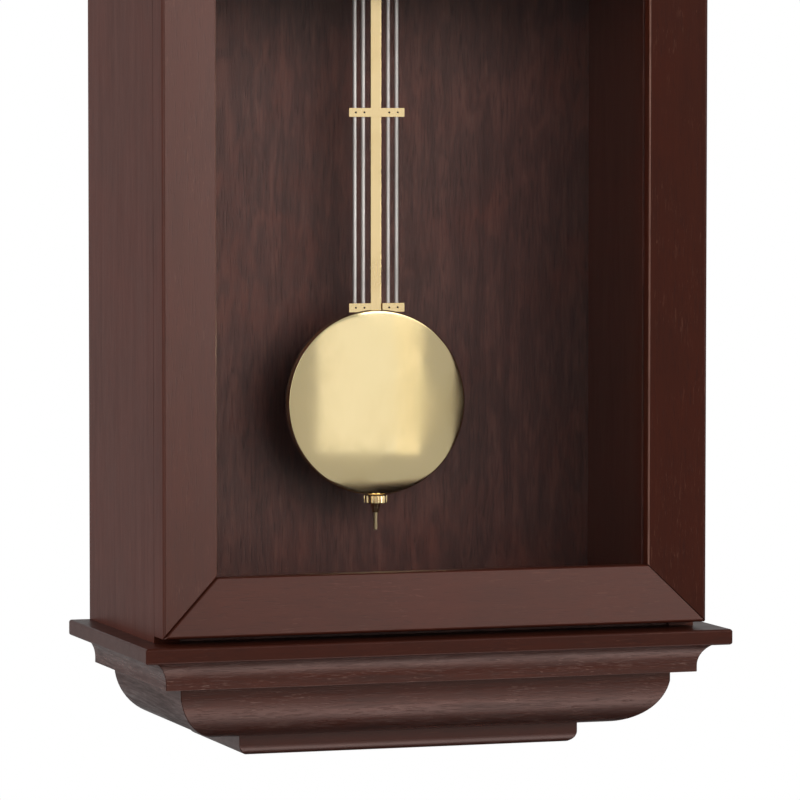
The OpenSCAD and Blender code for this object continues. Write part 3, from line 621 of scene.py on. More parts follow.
@dataclass(frozen=True)
class SkinFinish(Finish):
    """A moulded plastic, painted or printed skin.

    Attributes:
        name: what the finish is called.
        colour: main colour.
        shade: colour of the cloudy patches.
        roughness: roughness of the skin.
        speckle: height of its fine speckle, in metres.
        metallic: 1 for a metal skin.
        clouds: share of the shade that the cloudy patches take.
        dots: share of the shade that the speckle takes.
        polish: how much smoother the skin is between the dots.
        tooth: how much rougher it is on them.
        relief: how much the speckle can be felt.
    """

    colour: Colour
    shade: Colour
    roughness: float = 0.5
    speckle: float = 0.03 * MM
    metallic: float = 0.0
    clouds: float = 0.5
    dots: float = 0.15
    polish: float = 0.05
    tooth: float = 0.08
    relief: float = 0.3

    def fill(self, graph: Graph, shader: Node) -> None:
        """Builds the clouds, the speckle and their gloss.

        Args:
            graph: the graph of an empty material.
            shader: its Principled shader.
        """
        skin = graph.pattern(fine_speckle(), Place=graph.mapped())
        colour: object = self.colour
        for mask, share in (("Clouds", self.clouds), ("Speckle", self.dots)):
            colour = graph.mix(graph.sums("MULTIPLY", skin[mask], share), colour, self.shade)
        graph.feed(shader.inputs["Base Color"], colour)
        low, high = self.roughness - self.polish, self.roughness + self.tooth
        graph.feed(shader.inputs["Roughness"], graph.span(skin["Speckle"], 0.0, 1.0, low, high))
        shader.inputs["Metallic"].default_value = self.metallic
        graph.bump(shader, skin["Height"], self.relief, self.speckle)


@dataclass(frozen=True)
class WindingFinish(Finish):
    """Enamelled wire wound in close turns.

    Attributes:
        name: what the finish is called.
        colour: colour of the wire.
        gap: colour between the turns.
        rate: scale of the wave pattern.
        lean: how much the turns lean along the coil.
        wander: how unevenly they lie.
        rough: roughness between the turns and on the wire.
        relief: how much the turns can be felt.
        depth: depth of the turns.
    """

    colour: Colour
    gap: Colour
    rate: float = 180.0
    lean: float = 0.02
    wander: float = 0.6
    rough: Span = (0.5, 0.25)
    relief: float = 0.5
    depth: float = 0.1 * MM

    def fill(self, graph: Graph, shader: Node) -> None:
        """Builds the turns of wire and the dark gaps between them.

        Args:
            graph: the graph of an empty material.
            shader: its Principled shader.
        """
        wave = graph.add("ShaderNodeTexWave", bands_direction="DIAGONAL")
        graph.feed(wave.inputs["Vector"], graph.mapped((1.0, self.lean, 1.0)))
        graph.feed(wave.inputs["Scale"], self.rate)
        graph.feed(wave.inputs["Distortion"], self.wander)
        turns = wave.outputs[1]
        graph.feed(shader.inputs["Base Color"], graph.mix(turns, self.gap, self.colour))
        graph.feed(shader.inputs["Roughness"], graph.span(turns, 0.0, 1.0, *self.rough))
        shader.inputs["Metallic"].default_value = 1.0
        graph.bump(shader, turns, self.relief, self.depth)


@dataclass(frozen=True)
class GlassFinish(Finish):
    """Clear window glass that lets light through to the inside.

    Attributes:
        name: what the finish is called.
        tint: faint colour of the glass.
        bend: its index of refraction.
        clouds: how unevenly the tint lies.
    """

    tint: Colour
    bend: float
    clouds: float = 0.4

    def fill(self, graph: Graph, shader: Node) -> None:
        """Builds the glass, which is clear to shadows and reflections.

        Args:
            graph: the graph of an empty material.
            shader: its Principled shader.
        """
        skin = graph.pattern(fine_speckle(), Place=graph.mapped())
        share = graph.sums("MULTIPLY", skin["Clouds"], self.clouds)
        graph.feed(shader.inputs["Base Color"], graph.mix(share, self.tint, WHITE))
        shader.inputs["Roughness"].default_value = 0.0
        shader.inputs["Transmission Weight"].default_value = 1.0
        shader.inputs["IOR"].default_value = self.bend
        ray = graph.add("ShaderNodeLightPath").outputs
        passing = graph.sums("ADD", ray["Is Reflection Ray"], ray["Is Shadow Ray"])
        clear = graph.add("ShaderNodeBsdfTransparent")
        graph.show(graph.either(passing, shader, clear))


CASE_WOOD = WoodFinish()
# The left side's colour is 1.25 times lighter than the front boards': painted light on that side,
# also taken by the door's left-facing faces.
SIDE_WOOD = CASE_WOOD.along(Grain.UPRIGHT, 0.3, tone=1.25, gloss=0.15)
MOULDING_WOOD = WoodFinish(
    name="moulding_wood",
    dark=linear(38, 15, 10),
    body=linear(64, 27, 17),
    warm=linear(60, 23, 14),
    fleck=linear(126, 99, 89),
    flecks=0.5,
    streaks=0.1,
    relief=0.5,
    tint=(1.0, 0.66, 0.58),
)
# Pale wood for the stiles' chamfers at the glass: a painted highlight along those edges.
PAINTED_HIGHLIGHT_WOOD = WoodFinish(
    name="rubbed_wood",
    dark=linear(96, 64, 54),
    body=linear(122, 88, 76),
    warm=linear(112, 74, 62),
    seed=17.9,
)
INNER_WOOD = WoodFinish(
    name="inner_wood",
    dark=linear(60, 40, 38),
    body=linear(97, 63, 57),
    warm=linear(96, 50, 41),
    stain=0.5,
    mottle=0.6,
    pores=0.6,
    roughness=0.36,
    relief=0.6,
)
BRASS = MetalFinish("pale_brass", linear(236, 208, 160), linear(200, 170, 114), roughness=0.22)
DULL_BRASS = MetalFinish("dull_brass", linear(214, 194, 154), linear(170, 148, 108), roughness=0.45)
BOB_BRASS = MetalFinish(
    "bob_brass", linear(248, 224, 174), linear(232, 204, 146), roughness=0.1, lines=0.08
)
STEEL = MetalFinish("rod_steel", linear(222, 215, 211), linear(188, 182, 178), roughness=0.55)
DARK_STEEL = MetalFinish("dark_pin", linear(58, 52, 46), linear(34, 30, 28), roughness=0.45)
CLEAR_GLASS = GlassFinish("door_glass", linear(250, 253, 251), bend=1.08)
DIAL_CREAM = SkinFinish("dial_cream", linear(236, 229, 209), linear(221, 211, 187), roughness=0.55)
CHAPTER_WHITE = SkinFinish(
    "chapter_white", linear(244, 240, 228), linear(232, 226, 210), roughness=0.45
)
DIAL_INK = SkinFinish(
    "dial_ink", linear(24, 22, 22), linear(38, 35, 34), roughness=0.5, speckle=0.01 * MM
)
HAND_BLACK = SkinFinish(
    "hand_black", linear(22, 21, 21), linear(36, 34, 33), roughness=0.32, speckle=0.01 * MM
)
BLACK_PLASTIC = SkinFinish("black_plastic", linear(30, 30, 31), linear(44, 44, 45), roughness=0.5)
GEAR_PLASTIC = SkinFinish(
    "gear_plastic", linear(226, 221, 205), linear(208, 202, 184), roughness=0.42
)
COPPER = WindingFinish("copper_wire", linear(196, 112, 66), linear(96, 46, 26))
CIRCUIT = SkinFinish("circuit_green", linear(40, 88, 56), linear(28, 66, 42), roughness=0.4)
CELL = SkinFinish(
    "cell_jacket", linear(150, 152, 150), linear(120, 122, 120), roughness=0.35, metallic=0.6
)


# Work at the bench


def deselect() -> None:
    """Leaves nothing selected."""
    bpy.ops.object.select_all(action="DESELECT")


def activate(piece: Piece) -> None:
    """Selects one piece alone and makes it the active one."""
    deselect()
    piece.select_set(True)
    bpy.context.view_layer.objects.active = piece


@contextmanager
def editing(piece: Piece) -> Iterator[None]:
    """Holds a piece in edit mode, picking vertices.

    Args:
        piece: the piece to edit.
    """
    activate(piece)
    bpy.ops.object.mode_set(mode="EDIT")
    bpy.ops.mesh.select_mode(type="VERT")
    yield
    bpy.ops.object.mode_set(mode="OBJECT")


def pick(piece: Piece, test: Callable[[Vector], bool]) -> None:
    """Selects the vertices whose place passes a test, in edit mode.

    Args:
        piece: the piece in edit mode.
        test: says whether a place is wanted.
    """
    bpy.ops.mesh.select_all(action="DESELECT")
    mesh = bmesh.from_edit_mesh(piece.data)
    for vertex in mesh.verts:
        vertex.select_set(test(vertex.co))
    mesh.select_flush(True)
    bmesh.update_edit_mesh(piece.data)


def close_up() -> None:
    """Merges doubles and turns the faces outwards, in edit mode."""
    bpy.ops.mesh.select_all(action="SELECT")
    bpy.ops.mesh.remove_doubles(threshold=WELD)
    bpy.ops.mesh.normals_make_consistent(inside=False)


def apply(piece: Piece, kind: str, **settings: object) -> None:
    """Gives a piece a modifier and applies it.

    Args:
        piece: the piece.
        kind: Blender's name of the modifier type.
        settings: properties to set on it.
    """
    step = piece.modifiers.new(kind.lower(), kind)
    for key, value in settings.items():
        setattr(step, key, value)
    activate(piece)
    bpy.ops.object.modifier_apply(modifier=step.name)


def settle(piece: Piece) -> Piece:
    """Moves a piece's place, turn and scale into its mesh, and gives it back."""
    activate(piece)
    bpy.ops.object.transform_apply(location=True, rotation=True, scale=True)
    return piece


def fresh(name: str) -> Piece:
    """Names the primitive that was just added, and gives it back."""
    piece = bpy.context.object
    piece.name = name
    return piece


def copied(node: str, name: str) -> Piece:
    """Copies a CAD node's mesh and joins its triangles into whole faces.

    Args:
        node: the node to copy.
        name: what the copy is called.

    Returns:
        The copy.
    """
    piece = bpy.data.objects.new(name, frame["nodes"][node].data.copy())
    bpy.context.collection.objects.link(piece)
    piece.data.materials.clear()
    activate(piece)
    bpy.ops.mesh.customdata_custom_splitnormals_clear()
    with editing(piece):
        bpy.ops.mesh.select_all(action="SELECT")
        bpy.ops.mesh.remove_doubles(threshold=CAD_WELD)
        bpy.ops.mesh.dissolve_limited(angle_limit=math.radians(FLAT_ANGLE))
    return piece


def turned(
    name: str, section: Sequence[Span], foot: Point, axis: Point, steps: int
) -> Piece:
    """Turns a piece on the lathe.

    Args:
        name: what the piece is called.
        section: radius and height of each point of its half section, from end to end.
        foot: the point of the axis that heights are counted from.
        axis: the way that heights run.
        steps: flats round it.

    Returns:
        The piece.
    """
    run = Vector(axis)
    out = run.orthogonal().normalized()
    points = [Vector(foot) + out * radius + run * height for radius, height in section]
    deselect()
    bpy.ops.mesh.primitive_plane_add(size=MM, location=points[0])
    piece = fresh(name)
    with editing(piece):
        bpy.ops.mesh.select_all(action="SELECT")
        bpy.ops.mesh.merge(type="CENTER")
        for here, there in zip(points, points[1:]):
            bpy.ops.mesh.extrude_vertices_move(
                TRANSFORM_OT_translate={"value": tuple(there - here)}
            )
        bpy.ops.mesh.select_all(action="SELECT")
        bpy.ops.mesh.spin(steps=steps, angle=math.tau, center=foot, axis=axis)
        close_up()
    return settle(piece)


def block(name: str, low: Point, high: Point) -> Piece:
    """Saws a square block between two corners.

    Args:
        name: what the block is called.
        low: lowest corner.
        high: highest corner.

    Returns:
        The block, to be shaped or used as a cutter.
    """
    first, last = Vector(low), Vector(high)
    deselect()
    bpy.ops.mesh.primitive_cube_add(
        size=1.0, location=(first + last) / 2, scale=tuple(last - first)
    )
    return settle(fresh(name))


def cut(piece: Piece, tool: Piece) -> None:
    """Cuts one piece out of another and throws the cutter away.

    Args:
        piece: the piece to cut.
        tool: the shape to take out of it.
    """
    apply(piece, "BOOLEAN", operation="DIFFERENCE", solver="EXACT", object=tool)
    bpy.data.objects.remove(tool)


def eased(piece: Piece, width: float, segments: int = 2) -> None:
    """Rounds a piece's sharp edges.

    Args:
        piece: the piece.
        width: width of the rounding, in metres.
        segments: flats across it.
    """
    limit = math.radians(EDGE_ANGLE)
    apply(
        piece, "BEVEL", width=width, segments=segments, limit_method="ANGLE", angle_limit=limit
    )


def smoothed(piece: Piece, angle: float = EDGE_ANGLE) -> None:
    """Shades a piece smoothly across edges flatter than an angle in degrees."""
    activate(piece)
    bpy.ops.object.shade_smooth_by_angle(angle=math.radians(angle))


def evened(piece: Piece) -> None:
    """Keeps a smooth piece's large faces flat in shading beside its rounded edges."""
    apply(piece, "WEIGHTED_NORMAL", keep_sharp=True)


def joined(name: str, pieces: Sequence[Piece]) -> Piece:
    """Joins pieces into one mesh.

    Args:
        name: what the joined piece is called.
        pieces: the pieces to join.

    Returns:
        The joined piece.
    """
    deselect()
    for piece in pieces:
        piece.select_set(True)
    bpy.context.view_layer.objects.active = pieces[0]
    if len(pieces) > 1:
        bpy.ops.object.join()
    return settle(fresh(name))


def copies(name: str, piece: Piece, places: Sequence[Matrix]) -> Piece:
    """Sets copies of a piece at several places and joins them.

    Args:
        name: what the joined piece is called.
        piece: the model that is copied and then removed.
        places: where each copy goes, from the model's own place.

    Returns:
        The joined copies.
    """
    made = []
    for place in places:
        twin = piece.copy()
        twin.data = piece.data.copy()
        twin.data.transform(place)
        bpy.context.collection.objects.link(twin)
        made.append(twin)
    bpy.data.objects.remove(piece)
    return joined(name, made)


def shifts(*offsets: Point) -> list[Matrix]:
    """Gives one move for each offset."""
    return [Matrix.Translation(offset) for offset in offsets]


def painted(piece: Piece, finish: Finish) -> None:
    """Puts a finish on a whole piece."""
    piece.data.materials.clear()
    piece.data.materials.append(finish.material())


def fitted(
    piece: Piece, body: str, slot: str, finish: Finish, *nodes: str
) -> None:
    """Finishes a piece and sets it on its body.

    Args:
        piece: the piece.
        body: the body that it moves with.
        slot: the record's material slot that it belongs to; not used.
        finish: what it is finished with.
        nodes: CAD nodes that it stands for.
    """
    painted(piece, finish)
    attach(piece, body)
    if nodes:
        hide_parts(*nodes)
    LOG.info("%s rides on %s", piece.name, body)


def finished(
    piece: Piece,
    node: str,
    finish: Finish,
    ease: float = 0.0,
    segments: int = 2,
    angle: float = EDGE_ANGLE,
) -> None:
    """Eases a piece's edges, shades it and fits it in a CAD node's place.

    Args:
        piece: the shaped piece.
        node: the node that it stands for.
        finish: what it is finished with.
        ease: rounding of its sharp edges, in metres.
        segments: flats across the rounding.
        angle: bend in degrees past which an edge shades as one.
    """
    if ease:
        eased(piece, ease, segments)
    smoothed(piece, angle)
    evened(piece)
    fitted(piece, BODY_OF[node], SLOT_OF[node], finish, node)


def dressed(node: str, finish: Finish, ease: float = 0.0, segments: int = 2) -> None:
    """Copies a CAD node and finishes the copy in its place.

    Args:
        node: the node to dress.
        finish: what it is finished with.
        ease: rounding of its sharp edges, in metres.
        segments: flats across the rounding.
    """
    finished(copied(node, f"{node}_piece"), node, finish, ease, segments)


def kept(node: str, finish: Finish) -> None:
    """Leaves a CAD node showing, with a finish in its own slots.

    Args:
        node: the node.
        finish: what it is finished with.
    """
    for slot in frame["nodes"][node].material_slots:
        slot.material = finish.material()
    LOG.info("%s keeps its CAD shape", node)


class Recess(Enum):
    """The recess in a screw's head, with its reach in radii of the head."""

    SLOT = 1.2
    CROSS = 0.62


@dataclass(frozen=True)
class WoodScrew:
    """A countersunk screw with its head at the origin, facing along +Y.

    Attributes:
        head: radius of the head.
        cone: depth of the countersink.
        shank: radius of the shank.
        length: whole length.
        recess: recess in the head.
        flat: radius of the head's flat, as a share of the head.
        edge: depth of the head's chamfer.
        tip: length of the point.
        gap: half width of the recess, as a share of the head.
        deep: depth of the recess, as a share of the countersink.
    """

    head: float = 2.8 * MM
    cone: float = 1.3 * MM
    shank: float = 1.5 * MM
    length: float = 16 * MM
    recess: Recess = Recess.CROSS
    flat: float = 0.93
    edge: float = 0.08 * MM
    tip: float = 2 * MM
    gap: float = 0.11
    deep: float = 0.62

    def model(self, name: str) -> Piece:
        """Turns the screw and cuts its recess.

        Args:
            name: what the screw is called.

        Returns:
            The screw.
        """
        section = [
            (0.0, 0.0),
            (self.head * self.flat, 0.0),
            (self.head, -self.edge),
            (self.shank, -self.cone),
            (self.shank, -self.length + self.tip),
            (0.0, -self.length),
        ]
        screw = turned(name, section, MIDDLE, BACK, steps=32)
        reach, half = self.head * self.recess.value, self.head * self.gap
        deep = self.cone * self.deep
        cut(screw, block("slot", (-reach, -deep, -half), (reach, MM, half)))
        if self.recess is Recess.CROSS:
            cut(screw, block("slot", (-half, -deep, -reach), (half, MM, reach)))
        smoothed(screw, angle=28)
        return screw


# The clock


@dataclass
class Case:
    """The wooden case: boards, stacked mouldings, end blocks and the hanger.

    Attributes:
        board_ease: rounding of the boards' edges.
        strip_ease: rounding of the mouldings' edges.
        backing: how much thicker the mouldings are made behind.
        lip: how far the left side's front edge comes up to the door.
        lip_from: corner behind which the side is left as it is.
        return_gloss: gloss of the mouldings' returns, where the front strips have 1.
        seeds: seed of the first moulding's figure, and its step from strip to strip.
        near: points this near to a strip's back lie on it.
        screw_x: screws of the back panel, to each side of the middle.
        screw_zs: heights of the back panel's screws.
        plate_screw_x: screws of the keyhole plate, to each side of the middle.
    """

    board_ease: float = 0.7 * MM
    strip_ease: float = 0.35 * MM
    backing: float = 3 * MM
    lip: float = 0.7 * MM
    lip_from: Span = (-160.5 * MM, -139.5 * MM)
    return_gloss: float = 0.45
    seeds: Span = (6.0, 0.3)
    near: float = 0.05 * MM
    screw_x: float = 149 * MM
    screw_zs: Span = (-208.7 * MM, -80.0 * MM)
    plate_screw_x: float = 21 * MM

    def boards(self) -> None:
        """Dresses the sides, back, ends and rails, each with its own grain."""
        left = copied("side_left", "side_left_piece")
        with editing(left):
            x, y = self.lip_from
            pick(left, lambda place: place.x < x and place.y < y)
            bpy.ops.transform.translate(value=(0.0, -self.lip, 0.0))
        finished(left, "side_left", SIDE_WOOD, self.strip_ease)
        for node, finish in (
            # side_right's tone of 1.9 paints light on its inner face.
            ("side_right", CASE_WOOD.along(Grain.UPRIGHT, 1.1, tone=1.9, gloss=0.8)),
            ("base_ledge", CASE_WOOD.along(Grain.ACROSS, 2.0, tone=0.8, gloss=0.4)),
            ("crown_ledge", CASE_WOOD.along(Grain.ACROSS, 3.0, tone=0.8, gloss=0.4)),
            ("base_plinth", CASE_WOOD.along(Grain.ACROSS, 4.0, tone=0.85)),
            ("crown_cap", CASE_WOOD.along(Grain.ACROSS, 5.0, tone=0.85)),
        ):
            dressed(node, finish, self.board_ease, segments=3)
        for node, grain, seed in (
            ("back_boards", Grain.UPRIGHT, 0.7),
            ("access_panel", Grain.UPRIGHT, 1.9),
            ("end_boards", Grain.ACROSS, 3.1),
            ("hanging_rail", Grain.ACROSS, 4.3),
            ("dial_cleats", Grain.UPRIGHT, 5.7),
        ):
            dressed(node, INNER_WOOD.along(grain, seed), self.strip_ease)

    def mouldings(self) -> None:
        """Parts each mitred moulding into its strips, so that the grain turns the corners."""
        first, step = self.seeds
        for number, node in enumerate(("base_cove", "base_ovolo", "crown_cove", "crown_ovolo")):
            whole = copied(node, f"{node}_strip")
            with editing(whole):
                bpy.ops.mesh.select_all(action="SELECT")
                bpy.ops.mesh.separate(type="LOOSE")
            for place, strip in enumerate(sorted(bpy.context.selected_objects, key=self.middle)):
                wide = strip.dimensions.x > strip.dimensions.y
                grain = Grain.ACROSS if wide else Grain.INWARD
                gloss = 1.0 if wide else self.return_gloss
                strip.name = f"{node}_strip_{place}"
                self.backed(strip, wide)
                finish = MOULDING_WOOD.along(grain, first + number + step * place, gloss=gloss)
                finished(strip, node, finish, self.strip_ease, angle=24)

    def backed(self, strip: Piece, wide: bool) -> None:
        """Thickens a strip behind, so that it lies on the next one and no light shows between.

        Args:
            strip: the strip of moulding.
            wide: True for the front strip, False for a return.
        """
        side = -1.0 if self.middle(strip) > 0.0 else 1.0
        way = Vector(BACK) if wide else Vector((side, 0.0, 0.0))
        wall = max(way.dot(vertex.co) for vertex in strip.data.vertices)
        with editing(strip):
            pick(strip, lambda place: way.dot(place) > wall - self.near)
            bpy.ops.transform.translate(value=tuple(way * self.backing))

    @staticmethod
    def middle(piece: Piece) -> float:
        """Gives the X of the middle of a piece's box."""
        return sum(corner[0] for corner in piece.bound_box) / 8

    def hardware(self) -> None:
        """Dresses the keyhole plate and drives the screws."""
        dressed("hanger_plate", replace(STEEL, grain=Grain.ACROSS), ease=0.3 * MM)
        places = [
            (side * self.screw_x, 0.0, z) for side in (-1, 1) for z in self.screw_zs
        ] + [(side * self.plate_screw_x, 0.0, 0.0) for side in (-1, 1)]
        screws = copies("back_screws_piece", WoodScrew().model("screw"), shifts(*places))
        fitted(screws, "case", "steel", STEEL, "back_screws")
        dressed("catch_body", BLACK_PLASTIC, ease=0.6 * MM, segments=3)

    def build(self) -> None:
        """Builds the whole case."""
        self.boards()
        self.mouldings()
        self.hardware()


@dataclass
class Door:
    """The glazed door with its hinges.

    Attributes:
        middle_z: height of the door's middle.
        ease: rounding of the frame's edges.
        arris: rounding of the frame's outer front edges.
        groove: chamfer of the mitres' front edges on the side away from the hinges.
        lip: chamfer of the frame's front edges at the glass, painted pale on the stiles as a
            highlight.
        hinge_zs: heights of the hinges' middles.
        leaf_x: middle of the hinge leaves.
        seam_y: plane between the case and the door.
        screw_step: distance between the screws of a leaf.
        screw_sink: how far their heads lie under the seam.
        screw: one of these screws.
        front: how much of a front face's normal points forward, at least.
        square: how much of a square face's normal points sideways or upright, at least.
        slant: how much of a slanted face's normal points sideways, at least and at most.
        stray: how much of a normal may point where it should not.
    """

    middle_z: float = -297 * MM
    ease: float = 0.35 * MM
    arris: float = 1.5 * MM
    groove: float = 0.8 * MM
    lip: float = 0.8 * MM
    hinge_zs: Span = (-531.3 * MM, -62.7 * MM)
    leaf_x: float = 155.0 * MM
    seam_y: float = -140.5 * MM
    screw_step: float = 17 * MM
    screw_sink: float = 0.12 * MM
    screw: WoodScrew = WoodScrew(
        head=2.1 * MM, cone=0.9 * MM, shank=1.0 * MM, length=9 * MM, recess=Recess.SLOT
    )
    front: float = 0.6
    square: float = 0.95
    slant: Span = (0.5, 0.9)
    stray: float = 0.1

    def frame_members(self) -> None:
        """Dresses the mitred stiles and rails."""
        for node, finish in (
            ("door_stile_left", CASE_WOOD.along(Grain.UPRIGHT, 11.0)),
            # The right stile's tone of 0.78 paints shade on it.
            ("door_stile_right", CASE_WOOD.along(Grain.UPRIGHT, 12.3, tone=0.78, gloss=0.35)),
            ("door_rail_bottom", CASE_WOOD.along(Grain.ACROSS, 13.1, tone=1.02)),
            ("door_rail_top", CASE_WOOD.along(Grain.ACROSS, 14.9, tone=1.02)),
        ):
            member = copied(node, f"{node}_piece")
            self.round_edges(member, self.front_edges(outer=True), self.arris, segments=4)
            self.round_edges(member, self.is_open_mitre, self.groove, segments=1)
            self.round_edges(member, self.front_edges(outer=False), self.lip, segments=1)
            finished(member, node, finish, self.ease, segments=3)
            for other in (SIDE_WOOD, PAINTED_HIGHLIGHT_WOOD):
                member.data.materials.append(other.material())
            for face in member.data.polygons:
                face.material_index = self.wood_of(face)

    def wood_of(self, face: bpy.types.MeshPolygon) -> int:
        """Chooses the wood of a face of the frame.

        Args:
            face: the face.

        Returns:
            2, a pale wood that paints a highlight, on the stiles' chamfers at the glass, 1, as
            the case's side, on faces that look to the left, and 0 on the others.
        """
        way = face.normal
        least, most = self.slant
        slanted = least < abs(way.x) < most and way.y < 0.0 and abs(way.z) < self.stray
        if slanted and way.x * face.center.x < 0.0:
            return 2
        return int(way.x < -most)

    def meets_front(self, ways: Sequence[Vector]) -> bool:
        """Says whether one of an edge's normals looks to the front."""
        return any(way.y < -self.front for way in ways)

    def front_edges(self, outer: bool) -> EdgeTest:
        """Gives the test for the frame's long front edges.

        Args:
            outer: True for the edges on the outside, False for those at the glass.

        Returns:
            A test of an edge's middle and its faces' normals.
        """

        def test(middle: Vector, ways: Sequence[Vector]) -> bool:
            """Says whether an edge lies between a front face and a square one."""
            out = Vector((middle.x, 0.0, middle.z - self.middle_z)) * (1.0 if outer else -1.0)
            square = (way for way in ways if max(abs(way.x), abs(way.z)) > self.square)
            return any(way.dot(out) > 0.0 for way in square) and self.meets_front(ways)

        return test

    def is_open_mitre(self, middle: Vector, ways: Sequence[Vector]) -> bool:
        """Says whether an edge is the front edge of a mitre on the left.

        Args:
            middle: the edge's middle.
            ways: normals of its faces.

        Returns:
            True for the front edges of the mitres away from the hinges.
        """
        upright = [way for way in ways if abs(way.y) < self.stray]
        end = any(min(abs(way.x), abs(way.z)) > self.slant[0] for way in upright)
        return middle.x < 0.0 and end and self.meets_front(ways)

    @staticmethod
    def round_edges(member: Piece, test: EdgeTest, width: float, segments: int) -> None:
        """Rounds or chamfers chosen edges of a member.

        Args:
            member: the stile or rail.
            test: says from an edge's middle and its faces' normals whether it is wanted.
            width: width of the rounding, in metres.
            segments: flats across it.
        """
        with editing(member):
            bpy.ops.mesh.select_mode(type="EDGE")
            bpy.ops.mesh.select_all(action="DESELECT")
            mesh = bmesh.from_edit_mesh(member.data)
            for edge in mesh.edges:
                first, last = edge.verts
                ways = [face.normal for face in edge.link_faces]
                edge.select_set(test((first.co + last.co) / 2, ways))
            bmesh.update_edit_mesh(member.data)
            bpy.ops.mesh.bevel(offset=width, segments=segments)

    def glazing(self) -> None:
        """Dresses the glass and the beads behind it."""
        dressed("door_glass", CLEAR_GLASS, ease=0.3 * MM)
        dressed("glass_beads", INNER_WOOD.along(Grain.UPRIGHT, 15.3), ease=0.25 * MM)
        dressed("strike_plate", STEEL, ease=0.12 * MM)

    def hinges(self) -> None:
        """Dresses the leaves and pins, and drives their screws."""
        for node in ("hinge_case_leaves", "hinge_door_leaves", "hinge_pins"):
            dressed(node, BRASS, ease=0.18 * MM)
        for node, facing, depth in (
            ("hinge_case_leaves", math.pi, self.screw_sink),
            ("hinge_door_leaves", 0.0, -self.screw_sink),
        ):
            y = self.seam_y + depth
            spots = [
                (self.leaf_x, y, z + step * self.screw_step)
                for z in self.hinge_zs
                for step in (-1, 0, 1)
            ]
            turn = Matrix.Rotation(facing, 4, "X")
            places = [spot @ turn for spot in shifts(*spots)]
            screws = copies(f"{node}_screws", self.screw.model("screw"), places)
            fitted(screws, BODY_OF[node], "brass", BRASS)

    def build(self) -> None:
        """Builds the whole door."""
        self.frame_members()
        self.glazing()
        self.hinges()


